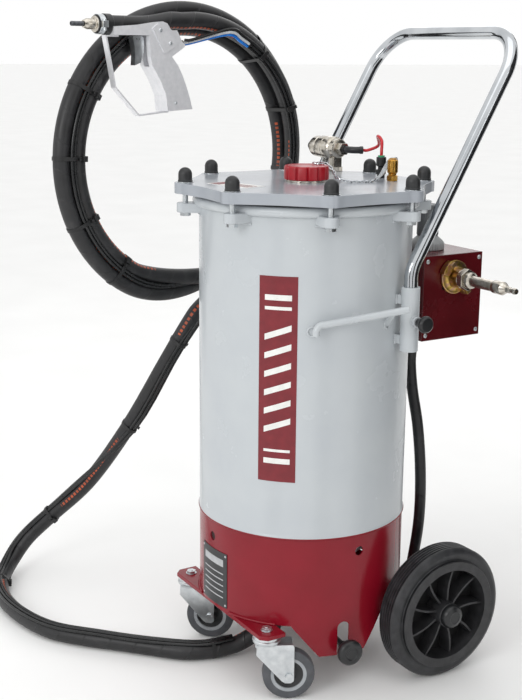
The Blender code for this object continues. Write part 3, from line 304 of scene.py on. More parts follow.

# %% [markdown]
# ## Helpers for meshes
# Everything is built about the pot's axis, and `piece` moves it there. It also gives the piece its
# finish, a softened edge where one is asked for, the body that it moves with, and the CAD pieces that it
# stands for.


# %% Pieces
def piece(name, data, materials, body="root", replaces=(), slot=None, matrix=None, bevel=0.0, sharp=35):
    item = bpy.data.objects.new(name, data)
    bpy.context.scene.collection.objects.link(item)
    for material in materials if isinstance(materials, (list, tuple)) else [materials]:
        data.materials.append(material)
    item.matrix_world = Matrix.Translation(AXIS) @ (matrix or Matrix.Identity(4))
    if isinstance(data, bpy.types.Mesh):
        data.shade_smooth()
        data.set_sharp_from_angle(angle=math.radians(sharp))
    if bevel:
        soften(item, bevel)
    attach(item, body)
    if replaces:
        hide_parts(*([replaces] if isinstance(replaces, str) else replaces))
    return item


def soften(item, width):
    """Round every sharp edge a little, as paint, casting and tumbling do."""
    edge = item.modifiers.new("softened edges", "BEVEL")
    edge.width = width
    edge.segments = 2
    edge.limit_method = "ANGLE"
    edge.angle_limit = math.radians(35)
    edge.harden_normals = False


def solid(name, bm, materials, **options):
    bmesh.ops.recalc_face_normals(bm, faces=bm.faces)
    mesh = bpy.data.meshes.new(name)
    bm.to_mesh(mesh)
    bm.free()
    return piece(name, mesh, materials, **options)


def bare(bm, matrix=None):
    """A mesh object that is only a tool for another piece."""
    bmesh.ops.recalc_face_normals(bm, faces=bm.faces)
    mesh = bpy.data.meshes.new("tool")
    bm.to_mesh(mesh)
    bm.free()
    item = bpy.data.objects.new("tool", mesh)
    bpy.context.scene.collection.objects.link(item)
    item.matrix_world = Matrix.Translation(AXIS) @ (matrix or Matrix.Identity(4))
    return item


def cut(item, bm, matrix=None, operation="DIFFERENCE"):
    """Cut a shape out of a piece, or join it on."""
    tool = bare(bm, matrix)
    step = item.modifiers.new("cut", "BOOLEAN")
    step.operation = operation
    step.solver = "EXACT"
    step.object = tool
    item.modifiers.move(len(item.modifiers) - 1, 0)
    bpy.context.view_layer.update()
    with bpy.context.temp_override(object=item, active_object=item):
        bpy.ops.object.modifier_apply(modifier="cut")
    bpy.data.objects.remove(tool, do_unlink=True)
    item.data.set_sharp_from_angle(angle=math.radians(35))
    return item
print("piece helpers ready")


# %% [markdown]
# Most pieces are one of three shapes: an outline turned about an axis, a flat outline given a
# thickness, or something swept along a line. Each helper can add to a mesh that it is given, so a
# piece of many bits is still one mesh.


# %% Shapes
def turned(profile, steps=64, bm=None, matrix=Matrix.Identity(4), index=0):
    """Turn a closed outline of (radius, height) points about Z."""
    bm = bm or bmesh.new()
    rings = []
    for radius, height in profile:
        angles = [math.tau * i / steps for i in range(steps if radius > 1e-9 else 1)]
        spots = [Vector((radius * math.cos(a), radius * math.sin(a), height)) for a in angles]
        rings.append([bm.verts.new(matrix @ spot) for spot in spots])
    for lower, upper in zip(rings, rings[1:] + rings[:1]):
        if len(lower) == len(upper) == 1:
            continue
        for i in range(steps):
            j = (i + 1) % steps
            one, two = lower[i % len(lower)], lower[j % len(lower)]
            three, four = upper[j % len(upper)], upper[i % len(upper)]
            bm.faces.new(list(dict.fromkeys((one, two, three, four)))).material_index = index
    return bm


def prism(outline, low, high, bm=None, matrix=Matrix.Identity(4), index=0):
    """Give a flat outline of (x, y) points a thickness."""
    bm = bm or bmesh.new()
    base = [bm.verts.new(matrix @ Vector((x, y, low))) for x, y in outline]
    top = [bm.verts.new(matrix @ Vector((x, y, high))) for x, y in outline]
    faces = [bm.faces.new(base[::-1]), bm.faces.new(top)]
    for i in range(len(outline)):
        j = (i + 1) % len(outline)
        faces.append(bm.faces.new((base[i], base[j], top[j], top[i])))
    for face in faces:
        face.material_index = index
    return bm


def brick(low, high, bm=None, matrix=Matrix.Identity(4), index=0):
    outline = [(low[0], low[1]), (high[0], low[1]), (high[0], high[1]), (low[0], high[1])]
    return prism(outline, low[2], high[2], bm, matrix, index)


def arc(radius, start, end, steps, centre=(0.0, 0.0)):
    """Points on an arc, with its angles in degrees."""
    angles = [math.radians(start + (end - start) * i / steps) for i in range(steps + 1)]
    return [(centre[0] + radius * math.cos(a), centre[1] + radius * math.sin(a)) for a in angles]


def ring(radius, steps, start=0.0, centre=(0.0, 0.0)):
    return arc(radius, start, start + 360 - 360 / steps, steps - 1, centre)


def around(count, start=0.0):
    return [start + math.tau * i / count for i in range(count)]


def turn_to(direction, at=(0, 0, 0)):
    """A matrix that points Z along a direction from a place."""
    return Matrix.Translation(at) @ Vector(direction).to_track_quat("Z", "X").to_matrix().to_4x4()


def smooth(points, pieces=8):
    """A smooth curve through the points."""
    knots = [Vector(p) for p in points]
    knots = [2 * knots[0] - knots[1]] + knots + [2 * knots[-1] - knots[-2]]
    fine = []
    for a, b, c, d in zip(knots, knots[1:], knots[2:], knots[3:]):
        for i in range(pieces):
            t = i / pieces
            square = (2 * a - 5 * b + 4 * c - d) * t**2
            cube = (3 * b - a - 3 * c + d) * t**3
            fine.append(0.5 * (2 * b + (c - a) * t + square + cube))
    return fine + [knots[-2]]


def length_of(points):
    return sum((q - p).length for p, q in zip(points, points[1:]))


def even(points, spacing):
    """Read points at an even spacing from a finely divided line."""
    length = length_of(points)
    count = max(2, round(length / spacing))
    route, travelled = [points[0]], 0.0
    for p, q in zip(points, points[1:]):
        step = (q - p).length
        while len(route) < count and travelled + step >= length * len(route) / count:
            route.append(p.lerp(q, (length * len(route) / count - travelled) / step))
        travelled += step
    return route + [points[-1]]


def sweep(points, radius, sides=16, bm=None, swell=None, index=0):
    """A round tube along the points, with a map of metres along it and turns round it.

    swell gives the share of the radius at a distance along the tube.
    """
    bm = bm or bmesh.new()
    layer = bm.loops.layers.uv.get("along") or bm.loops.layers.uv.new("along")
    aim = (points[1] - points[0]).normalized()
    side = aim.cross(Vector((0, 0, 1)) if abs(aim.z) < 0.9 else Vector((0, 1, 0))).normalized()
    rings, places, travelled = [], [], 0.0
    for i, point in enumerate(points):
        ahead = (points[min(i + 1, len(points) - 1)] - points[max(i - 1, 0)]).normalized()
        side = (side - ahead * side.dot(ahead)).normalized()
        up = ahead.cross(side)
        travelled += (point - points[i - 1]).length if i else 0.0
        size = radius * (swell(travelled) if swell else 1.0)
        angles = [math.tau * k / sides for k in range(sides)]
        rings.append([bm.verts.new(point + size * (side * math.cos(a) + up * math.sin(a))) for a in angles])
        places.append(travelled)
    for i in range(len(rings) - 1):
        for k in range(sides):
            n = (k + 1) % sides
            face = bm.faces.new((rings[i][k], rings[i][n], rings[i + 1][n], rings[i + 1][k]))
            face.material_index = index
            corners = ((places[i], k), (places[i], k + 1), (places[i + 1], k + 1), (places[i + 1], k))
            for loop, (u, v) in zip(face.loops, corners):
                loop[layer].uv = (u, v / sides)
    for cap in (rings[0][::-1], rings[-1]):
        bm.faces.new(cap).material_index = index
    return bm


def weld(points, radius=0.003, bm=None, index=0):
    """A weld bead: a round bead that swells at each ripple."""
    ripple = 0.0042
    line = even(smooth(points, 6), ripple / 3)
    return sweep(line, radius, 8, bm, lambda u: 1.0 + 0.13 * math.sin(math.tau * u / ripple), index)


print("mesh helpers ready")

# %% [markdown]
# ## The blast hose
# About 6 m of 33 mm hose leaves the tee under the pot, crosses the floor, rises to the hanger, makes two
# turns and a bit in one upright plane, and ends in the gun that rests on top of the coil. The first turn
# is the outer one, the second lies inside it, and the last part crosses to the front. Places on the coil
# are given by an angle, a radius and a distance in front of the coil's plane.

# %% The hose's route
HOSE_R = 0.0165
BLAST_ROUTE = [
    (0.000, -0.0525, 0.0600),
    (0.000, -0.0720, 0.0600),
    (-0.006, -0.100, 0.0440),
    (-0.019, -0.138, 0.0240),
    (-0.033, -0.180, 0.0180),
    (-0.056, -0.232, 0.0170),
    (-0.104, -0.280, 0.0170),
    (-0.158, -0.330, 0.0170),
    (-0.212, -0.382, 0.0170),
    (-0.276, -0.428, 0.0170),
    (-0.358, -0.452, 0.0170),
    (-0.445, -0.459, 0.0170),
    (-0.516, -0.447, 0.0172),
    (-0.572, -0.421, 0.0200),
    (-0.612, -0.385, 0.0370),
    (-0.618, -0.344, 0.0800),
    (-0.592, -0.292, 0.1360),
    (-0.530, -0.224, 0.2265),
    (-0.442, -0.164, 0.3720),
    (-0.372, -0.112, 0.5180),
    (-0.338, -0.070, 0.6120),
    (-0.3315, -0.042, 0.6482),
]
COIL = Matrix.Translation((-0.307, -0.0935, 0.965)) @ Matrix.Rotation(math.radians(-81.4), 4, "Z")
COIL_START, COIL_END = -62.0, 705.0
OUTER_R, INNER_R, FRONT_R = 0.2875, 0.2542, 0.2557
IN_FRONT = 0.0333
STEP_IN, CROSS_OVER, CROSS_DIP = (238, 298), (600, 655), 0.012
LEAD_START = -15.0
BARREL_UP, BARREL_ASIDE = 0.2555, 0.0385


def ease(value, start, end):
    share = min(1.0, max(0.0, (value - start) / (end - start)))
    return share * share * (3 - 2 * share)


def coil_place(degrees):
    """Radius and distance in front of the coil's plane of the wound part."""
    crossing = min(1.0, max(0.0, (degrees - CROSS_OVER[0]) / (CROSS_OVER[1] - CROSS_OVER[0])))
    radius = OUTER_R + (INNER_R - OUTER_R) * ease(degrees, *STEP_IN) + (FRONT_R - INNER_R) * crossing
    return radius - CROSS_DIP * math.sin(math.pi * crossing), IN_FRONT * ease(degrees, *CROSS_OVER)


def lead_place(degrees):
    """The same for the last part, which runs up to the gun."""
    return 0.2560 + 0.0001 * (degrees - LEAD_START), IN_FRONT + 0.0052 * min(1.0, (degrees - LEAD_START) / 45)


def on_coil(degrees, radius, aside):
    a = math.radians(degrees)
    return COIL @ Vector((-radius * math.cos(a), aside, radius * math.sin(a)))


knots = [Vector(p) for p in BLAST_ROUTE]
wound = [COIL_START + 6.5 * i for i in range(118)]
knots += [on_coil(d, *coil_place(d)) for d in wound]
lead = [LEAD_START + 7.5 * i for i in range(1, 16)]
knots += [on_coil(d, *lead_place(d)) for d in lead]
barrel = (
    (0.060, 0.2655), (0.090, 0.2605), (0.120, 0.2565), (0.150, BARREL_UP), (0.190, BARREL_UP),
    (0.230, BARREL_UP),
)
knots += [COIL @ Vector((ahead, BARREL_ASIDE, up)) for ahead, up in barrel]
hose_line = even(smooth(knots, 8), 0.010)
print(f"the hose is {length_of(hose_line):.3f} m long, with {len(hose_line)} points")

# %% Blast hose
hose_nodes = ["blast_hose_run", "hose_coil", "hose_lead"]
hose = solid(
    "blast_hose", sweep(hose_line, HOSE_R, 28), BLAST_RUBBER, replaces=hose_nodes, slot="hose_rubber",
)
print("blast hose faces:", len(hose.data.polygons))

# %% [markdown]
# ## Control tubes and cable ties
# Three thin tubes run from the gun back along the hose to the pot's foot. The blue and the clear one soon
# enter black sleeves. They lie in the valley between the turns, and on the run they ride on the hose.
# Cable ties hold
# the bundle, and a tie takes the shape of a string pulled round it, which is the convex hull of the
# circles inside it. The hull's edge in each direction is the furthest circle's edge in that direction.

# %% Control tubes
TUBE_R = 0.003
SLEEVE_STARTS = 0.16
FLOOR_BELOW, RISEN_ABOVE = 0.10, 0.45
TUBE_TURN = 0.33
valley = [(0.2709, 0.0103), (0.2677, 0.0160), (0.2741, 0.0160)]
riding_angles = (100, 119, 138)
run = smooth(BLAST_ROUTE, 2)


def run_plane(i):
    """The plane across the hose at a point of its run, with X towards the side that the tubes ride on."""
    ahead = (run[i + 1] - run[i - 1]).normalized()
    towards_floor = 1 - ease(run[i].z, FLOOR_BELOW, RISEN_ABOVE)
    way = Vector((0.9888, 0.1494, 0)).lerp(Vector((0, -0.35, 1)), towards_floor)
    way = (way - ahead * way.dot(ahead)).normalized()
    return Matrix.Translation(run[i]) @ Matrix((way, ahead.cross(way), ahead)).transposed().to_4x4()


def run_circle(number):
    """Where a control tube lies in that plane."""
    turn = TUBE_TURN * (number - 1)
    return (HOSE_R + TUBE_R) * math.cos(turn), (HOSE_R + TUBE_R) * math.sin(turn)


for number, (name, material) in enumerate(
    (("black", BLACK_TUBE), ("clear", CLEAR_TUBE), ("blue", BLUE_TUBE)),
):
    side = math.radians(riding_angles[number])
    off_r, off_a = (HOSE_R + TUBE_R) * math.cos(side), (HOSE_R + TUBE_R) * math.sin(side)
    fitting = Vector((0.030, BARREL_ASIDE + 0.004 - 0.009 * number, 0.2290 - 0.004 * number))
    line = [COIL @ fitting, COIL @ (fitting + Vector((-0.016, 0.004, 0.001)))]
    for degrees in range(74, -16, -8):
        radius, aside = lead_place(degrees)
        line.append(on_coil(degrees, radius + off_r, aside + off_a))
    for degrees in range(690, 296, -8):
        radius, aside = coil_place(degrees)
        down = ease(degrees, 600, 660)
        low_r, low_a = valley[number]
        riding_r, riding_a = radius + off_r, aside + off_a
        line.append(on_coil(degrees, low_r + (riding_r - low_r) * down, low_a + (riding_a - low_a) * down))
    for i in range(len(run) - 4, 3, -3):
        x, y = run_circle(number)
        line.append(run_plane(i) @ Vector((x, y, 0)))
    tube_line = even(smooth(line, 5), 0.009)
    tube = sweep(tube_line, TUBE_R, 10)
    along_map = tube.loops.layers.uv["along"]
    for face in tube.faces:
        face.material_index = int(face.loops[0][along_map].uv.x > SLEEVE_STARTS)
    finishes = [material, BLACK_TUBE]
    solid(f"control_tube_{name}", tube, finishes, slot="black_plastic")
print("control tube length", round(length_of(tube_line), 2))


# %% Cable ties
def circles_at(degrees):
    """The circles that a tie at this angle goes round: (radius, in front, own radius)."""
    circles = [(*place, TUBE_R) for place in valley]
    for turn in (degrees, degrees + 360, degrees + 720):
        if COIL_START <= turn <= COIL_END:
            circles.append((*coil_place(turn), HOSE_R))
    if LEAD_START <= degrees <= 76:
        radius, aside = lead_place(degrees)
        circles.append((radius, aside, HOSE_R))
        for angle in riding_angles:
            side = math.radians(angle)
            reach = HOSE_R + TUBE_R
            circles.append((radius + reach * math.cos(side), aside + reach * math.sin(side), TUBE_R))
    return circles


def tie(bm, circles, matrix, width=0.0076, thick=0.0014):
    """A strap round the circles, which lie in the matrix's XY plane, with its head at the front."""
    steps = 72
    loops = [[], [], [], []]
    for angle in around(steps):
        way = Vector((math.cos(angle), math.sin(angle)))
        x, y, own = max(circles, key=lambda c: c[0] * way.x + c[1] * way.y + c[2])
        for loop, (more, z) in zip(loops, ((0.0002, -1), (thick, -1), (thick, 1), (0.0002, 1))):
            spot = Vector((x, y)) + way * (own + more)
            loop.append(bm.verts.new(matrix @ Vector((spot.x, spot.y, z * width / 2))))
    for one, two in zip(loops, loops[1:] + loops[:1]):
        for i in range(steps):
            j = (i + 1) % steps
            bm.faces.new((one[i], one[j], two[j], two[i]))
    way = Vector((-0.35, 0.94)).normalized()
    x, y, own = max(circles, key=lambda c: c[0] * way.x + c[1] * way.y + c[2])
    at = Vector((x, y)) + way * (own + 0.0030)
    head = Matrix.Translation((at.x, at.y, 0)) @ Matrix.Rotation(math.atan2(way.y, way.x) - QUARTER, 4, "Z")
    brick((-0.0065, -0.0028, -0.0055), (0.0065, 0.0028, 0.0055), bm, matrix @ head)
    brick((0.0060, -0.0010, -0.0035), (0.0150, 0.0006, 0.0035), bm, matrix @ head)


TIE_ANGLES = (-45, -8, 22, 52, 118, 150, 178, 205, 232, 284)
TIE_HEIGHTS = (0.118, 0.310, 0.545)
ties = bmesh.new()
for degrees in TIE_ANGLES:
    a = math.radians(degrees)
    outward, front = Vector((-math.cos(a), 0, math.sin(a))), Vector((0, 1, 0))
    along = outward.cross(front)
    plane = Matrix((outward, front, along)).transposed().to_4x4()
    tie(ties, circles_at(degrees), COIL @ plane)
run_circles = [(0, 0, HOSE_R)] + [(*run_circle(number), TUBE_R) for number in range(3)]
for low in TIE_HEIGHTS:
    place = next(i for i, point in enumerate(run) if point.z > low)
    tie(ties, run_circles, run_plane(place))
for near in ((-0.545, -0.434, 0.019), (-0.033, -0.180, 0.018)):
    place = min(range(1, len(run) - 1), key=lambda i: (run[i] - Vector(near)).length)
    tie(ties, run_circles, run_plane(place), thick=0.0010)
hose_ties = solid("hose_ties", ties, TIE_NYLON, bevel=0.0004, slot="black_plastic")
print("ties:", len(TIE_ANGLES), "round the coil,", len(TIE_HEIGHTS) + 2, "on the run")

# %% [markdown]
# ## The gun
# The gun is a tumbled aluminium casting clamped round the hose, with a trigger that opens a small air
# valve in the grip. The casting, cover, guard and trigger of the CAD model already have the right
# shape, so they stay, and get rounded edges and a finish. Screws, the clamp, the fittings and a hollow
# nozzle are added.


# %% Gun castings and trigger
def refinish(node, material, bevel=0.0):
    """Give a CAD piece that stays its finish, and rounded edges."""
    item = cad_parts[node]
    for place in item.material_slots:
        place.link = "OBJECT"
        place.material = material
    if bevel:
        soften(item, bevel)
    return item


gun_pieces = [
    refinish("gun_body", CASTING, 0.0016),
    refinish("gun_guard", CASTING, 0.0010),
    refinish("gun_cover", CASTING, 0.0006),
    refinish("trigger", ZINC, 0.0012),
]
GUN = COIL @ Matrix.Translation((0.120, BARREL_ASIDE, BARREL_UP))
SIDEWAYS = Matrix.Rotation(-QUARTER, 4, "X")


def on_gun(x, z, aside, turn=SIDEWAYS):
    """A place on the gun's side, with Z pointing away from it."""
    return GUN @ Matrix.Translation((x, aside, z)) @ turn


def pan_screw(bm, matrix, radius=0.0036, height=0.0022, index=0):
    """A pan head with a shallow round sunk recess."""
    dome = [
        (0, 0), (radius, 0), (radius, height * 0.5), (radius * 0.78, height * 0.9), (radius * 0.45, height),
    ]
    turned(dome + [(radius * 0.4, height * 0.45), (0, height * 0.45)], 24, bm, matrix, index)


screws = bmesh.new()
pan_screw(screws, on_gun(-0.020, -0.0090, 0.0229))
pan_screw(screws, on_gun(-0.043, -0.0330, 0.0229))
pan_screw(screws, on_gun(-0.0560, -0.1450, 0.0206), 0.0030)
gun_pieces.append(solid("gun_screws", screws, ZINC, slot="chrome_tube"))
print("gun castings finished:", len(gun_pieces) - 1, "and", 3, "screws")

# %% Gun clamp, end ring, holder and nozzle
ALONG = Matrix.Rotation(QUARTER, 4, "Y")
clamp = bmesh.new()
band = [(0.0170, 0.096), (0.0182, 0.096), (0.0182, 0.108), (0.0170, 0.108)]
turned(band, 64, clamp, GUN @ ALONG)
brick((0.096, 0.0160, -0.0060), (0.108, 0.0240, 0.0060), clamp, GUN)
turned(
    [(0, 0.009), (0.0035, 0.009), (0.0035, -0.012), (0, -0.012)], 6, clamp,
    GUN @ Matrix.Translation((0.102, 0.0205, 0)),
)
gun_pieces.append(solid("hose_clamp", clamp, ZINC, bevel=0.0004, slot="chrome_tube"))
ferrule = [(0.0167, 0.080), (0.0192, 0.080), (0.0192, 0.094), (0.0167, 0.094)]
gun_pieces.append(solid("hose_end_ring", turned(ferrule, 64, matrix=GUN @ ALONG), KNOB_PLASTIC, bevel=0.0008))
START = 0.1103
holder = [(0.0048, 0), (0.0150, 0), (0.0150, 0.0022), (0.0142, 0.003), (0.0104, 0.0034), (0.0098, 0.0042)]
holder += [(0.0098, 0.0195), (0.0090, 0.0210), (0.0070, 0.0258), (0.0048, 0.0258)]
holder = [(radius, START + along) for radius, along in holder]
gun_pieces.append(
    solid(
        "blast_nozzle_holder", turned(holder, 64, matrix=GUN @ ALONG), NICKEL, replaces="nozzle_holder",
        slot="nickel",
    )
)
tip = [
    (0.0020, 0.0262), (0.0044, 0.0262), (0.0044, 0.0512), (0.0037, 0.0520), (0.0026, 0.0520),
    (0.0018, 0.0500),
]
tip = [(radius, START + along) for radius, along in tip]
gun_pieces.append(
    solid("blast_nozzle", turned(tip, 48, matrix=GUN @ ALONG), CARBIDE, replaces="nozzle", slot="carbide"),
)
print("pieces on the gun:", len(gun_pieces))

# %% Fittings behind the grip
fittings = bmesh.new()
for number in (1, 2):
    place = Matrix.Translation((-0.0790, 0.004 - 0.009 * number, -0.0265 - 0.004 * number))
    back = GUN @ place @ Matrix.Rotation(-QUARTER, 4, "Y")
    prism(ring(0.0046, 6), 0.0, 0.006, fittings, back)
    turned([(0.0030, 0.006), (0.0040, 0.006), (0.0040, 0.012), (0.0030, 0.013)], 24, fittings, back)
gun_pieces.append(solid("gun_fittings", fittings, NICKEL, slot="nickel"))

# %% [markdown]
# ## Air hose and signal tube
# A 22 mm air hose runs from under the box down the back of the pot to the tee. It is held at both ends.
# A thin red tube carries the signal to the exhaust valve on the lid.

# %% Air hose
AIR_ROUTE = [
    (0.036, 0.235, 0.6295),
    (0.036, 0.235, 0.6000),
    (0.036, 0.234, 0.5700),
    (0.054, 0.227, 0.5200),
    (0.082, 0.222, 0.4500),
    (0.096, 0.222, 0.3600),
    (0.098, 0.222, 0.2700),
    (0.090, 0.219, 0.1900),
    (0.076, 0.214, 0.1200),
    (0.056, 0.190, 0.0720),
    (0.030, 0.140, 0.0560),
    (0.006, 0.100, 0.0590),
    (0.000, 0.0750, 0.0600),
    (0.000, 0.0525, 0.0600),
]
air_line = even(smooth(AIR_ROUTE), 0.010)
solid("air_hose_wrapped", sweep(air_line, 0.011, 24), AIR_RUBBER, replaces="air_hose", slot="hose_rubber")
print("air hose", round(length_of(air_line), 3), "m")

# %% [markdown]
# ## The pot
# The pot is rolled from 4 mm sheet, with a round bar welded on as its rim and a cone inside its foot.
# Turning one outline about the axis gives all of that at once. The lugs that hold the lid bolts are
# flame-cut plates, rounded at the tip and welded on, so each has a rippled bead round its root.

# %% Pot shell
RIM_R, RIM_Z, ROD_R = 0.203, 0.9064, 0.009
SEAM_Z = 0.310
INNER_WALL = POT_R - 0.004
outside = [(0.022, 0.125), (0.022, 0.135), (INNER_WALL, 0.292), (INNER_WALL, SEAM_Z - 0.0025)]
outside += [
    (POT_R + 0.0006, SEAM_Z - 0.0025), (POT_R + 0.0015, SEAM_Z - 0.001), (POT_R + 0.0015, SEAM_Z + 0.001),
]
outside += [(POT_R + 0.0004, SEAM_Z + 0.003), (POT_R, SEAM_Z + 0.004), (POT_R, 0.8983)]
rim_bar = arc(ROD_R, -62, 90, 12, (RIM_R, RIM_Z))
inside = [
    (INNER_WALL, RIM_Z + ROD_R), (INNER_WALL, SEAM_Z), (INNER_WALL - 0.004, 0.296), (0.018, 0.137),
    (0.018, 0.125),
]
solid(
    "pot_shell", turned(outside + rim_bar + inside, 144), POT_ENAMEL, replaces="tank_shell", slot="pot_paint",
    sharp=40,
)
print("the rim is", round((RIM_Z + ROD_R) * 1000, 1), "mm above the floor")

# %% Lugs and their welds
BOLT_R = 0.226
BOLT_ANGLES = around(8, math.radians(22.5))
LUG_LOW, LUG_TOP = 0.885, 0.903
lug = [
    (0.196, -0.0215), (0.212, -0.0185),
] + arc(0.0138, -72, 72, 12, (0.2282, 0.0)) + [(0.212, 0.0185), (0.196, 0.0215)]
lugs, beads = bmesh.new(), bmesh.new()
for angle in BOLT_ANGLES:
    turn = Matrix.Rotation(angle, 4, "Z")
    prism(lug, LUG_LOW, LUG_TOP, lugs, turn)
    for z in (LUG_LOW - 0.0012, LUG_TOP + 0.0008):
        spread = [math.radians(6.2) * (i / 4 - 1) for i in range(9)]
        weld(
            [Vector((0.2005 * math.cos(angle + a), 0.2005 * math.sin(angle + a), z)) for a in spread], 0.0026,
            beads,
        )
solid("lid_lugs", lugs, POT_ENAMEL, bevel=0.0018, slot="pot_paint")
solid("lug_welds", beads, POT_ENAMEL, slot="pot_paint", sharp=80)
print("lugs:", len(BOLT_ANGLES))

# %% [markdown]
# ## The lid
# The lid is a 20 mm plate, cut to eight round lobes with shallow waists between them, so its edge is crisp
# and only a little rounded by the coat. Each bolt wears a domed vinyl cap on a thin washer.


# %% Lid
def lid_radius(off):
    """Radius of the lid's edge at an angle from the nearest bolt."""
    lobe, middle, half = 0.020, 0.2195, math.radians(22.5)
    edge = math.asin(lobe / BOLT_R) * 0.8
    if abs(off) <= edge:
        return BOLT_R * math.cos(off) + math.sqrt(lobe**2 - (BOLT_R * math.sin(off)) ** 2)
    share = (abs(off) - edge) / (half - edge)
    lobe_end = BOLT_R * math.cos(edge) + 0.6 * lobe
    return lobe_end + (middle - lobe_end) * math.sin(share * math.pi / 2)


lid_edge = []
for angle in BOLT_ANGLES:
    for i in range(36):
        off = math.radians(45) * (i / 36 - 0.5)
        lid_edge.append((lid_radius(off) * math.cos(angle + off), lid_radius(off) * math.sin(angle + off)))
lid = solid(
    "lid", prism(lid_edge, LID_LOW, LID_TOP), LID_ENAMEL, replaces="lid_plate", slot="lid_paint",
    bevel=0.0012,
)
cut(lid, prism(ring(0.030, 64), LID_LOW - 0.01, LID_TOP + 0.01))
refinish("lid_gasket", SEAL_RUBBER, 0.0004)
print("lid is", round((LID_TOP - LID_LOW) * 1000, 1), "mm thick")

# %% Lid bolts
CAP_FOOT, CAP_DOME_R = LID_TOP + 0.0015, 0.0128
shank = [(0, 0.8787), (0.0050, 0.8787), (0.0050, LID_TOP + GAP), (0, LID_TOP + GAP)]
washer = [
    (0.0040, LID_TOP + GAP), (0.0148, LID_TOP + GAP), (0.0148, LID_TOP + 0.0013), (0.0040, LID_TOP + 0.0013),
]
cap_outline = [
    (0, CAP_FOOT), (0.0134, CAP_FOOT), (0.0136, CAP_FOOT + 0.0022), (CAP_DOME_R, CAP_FOOT + 0.0030),
]
cap_outline += arc(CAP_DOME_R, 0, 90, 12, (0, 0.9673 - CAP_DOME_R))[:-1] + [(0, 0.9673)]
for number, angle in enumerate(BOLT_ANGLES, 1):
    spot = Matrix.Translation(
        (BOLT_R * math.cos(angle), BOLT_R * math.sin(angle), 0),
    ) @ Matrix.Rotation(angle, 4, "Z")
    bolt = turned(shank, 24)
    prism(ring(0.0098, 6), 0.8787, 0.8847, bolt)
    turned(washer, 40, bolt)
    turned(cap_outline, 40, bolt, index=1)
    solid(
        f"capped_bolt_{number}", bolt, [ZINC, CAP_RUBBER], replaces=f"lid_bolt_{number}", slot="bolt_zinc",
        matrix=spot,
    )
print("capped bolts:", len(BOLT_ANGLES))

# %% [markdown]
# ## Filler cap and its chain
# The red cap is moulded with twelve finger flutes and a sunk top. A small chain keeps it on the lid, with
# one end at the cap and the other at the lid.


# %% Filler neck and cap
neck = [(0.030, LID_TOP + GAP), (0.039, LID_TOP + GAP), (0.039, 0.9436), (0.0345, 0.9438), (0.0345, 0.9590)]
neck += [(0.0338, 0.9603), (0.030, 0.9603)]
solid("filler_tube", turned(neck, 96), NICKEL, replaces="filler_neck", slot="nickel")


def fluted(levels, radius, flutes, deep, steps=192):
    """A grip: levels are (share of the radius, height, share of the flutes' depth)."""
    bm = bmesh.new()
    rings = []
    for share, height, depth in levels:
        spots = []
        for a in around(steps):
            groove = deep * depth * max(0.0, math.cos(flutes * a)) ** 6
            reach = radius * share - groove
            spots.append(bm.verts.new((reach * math.cos(a), reach * math.sin(a), height)))
        rings.append(spots)
    for lower, upper in zip(rings, rings[1:]):
        for i in range(steps):
            j = (i + 1) % steps
            bm.faces.new((lower[i], lower[j], upper[j], upper[i]))
    bm.faces.new(rings[0][::-1])
    bm.faces.new(rings[-1])
    return bm


CAP_R = 0.042
levels = [
    (0.836, 0.0206, 0), (0.836, 0.0, 0), (0.97, 0.0, 1), (1.0, 0.0012, 1), (1.0, 0.0215, 1),
    (0.985, 0.0240, 1),
]
levels += [
    (0.955, 0.0253, 1), (0.92, 0.0255, 0.7), (0.80, 0.0255, 0.0), (0.775, 0.0246, 0), (0.30, 0.0240, 0),
]
cap_at = Matrix.Translation((0, 0, 0.9441))
solid(
    "fluted_cap",
    fluted(levels, CAP_R, 12, 0.0030),
    RED_PLASTIC,
    body="cap",
    replaces="filler_cap",
    slot="red_plastic",
    matrix=cap_at,
)
print("the cap is", round(2000 * CAP_R), "mm across")


# %% Cap chain
def chain_link(bm, centre, along, across, pitch, wire):
    """One oval link, a little longer than its pitch so that it loops through the next."""
    long_half, wide_half = pitch * 0.72, pitch * 0.36
    loop = [centre + along * long_half * math.cos(a) + across * wide_half * math.sin(a) for a in around(15)]
    sweep(loop + [loop[0], loop[1]], wire, 6, bm)


LINK_PITCH = 0.0068
chain_route = [
    (-0.012, 0.0270, 0.9718), (0.004, 0.0400, 0.9712), (0.019, 0.0455, 0.9610), (0.040, 0.0430, 0.9470),
]
chain_route += [
    (0.062, 0.0560, 0.9424), (0.074, 0.083, 0.9424), (0.073, 0.101, 0.9432), (0.0705, 0.113, 0.9450),
]
chain_line = even(smooth(chain_route), LINK_PITCH)
chain = bmesh.new()
for i, point in enumerate(chain_line):
    along = (chain_line[min(i + 1, len(chain_line) - 1)] - chain_line[max(i - 1, 0)]).normalized()
    flat = along.cross(Vector((0, 0, 1))).normalized()
    stood = along.cross(flat)
    across = (flat + stood).normalized() if i % 2 else (flat - stood).normalized()
    chain_link(chain, point, along, across, LINK_PITCH, 0.0010)
bmesh.ops.recalc_face_normals(chain, faces=chain.faces)
chain_mesh = bpy.data.meshes.new("cap_chain")
chain.to_mesh(chain_mesh)
chain.free()
chain_mesh.materials.append(CHROME)
chain_mesh.transform(Matrix.Translation(AXIS))
cap_chain = bpy.data.objects.new("cap_chain", chain_mesh)
bpy.context.scene.collection.objects.link(cap_chain)
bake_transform(cap_chain)
print("chain links:", len(chain_line))

# %% [markdown]
# ## Fittings on the lid
# The exhaust valve is a nickel-plated body that lies on its side on a square neck. Its black plug is at
# the left, and a black elbow at the right takes the red signal tube. Behind the cap stand a push-in
# fitting with a green release ring, and a brass safety valve with a pull ring.

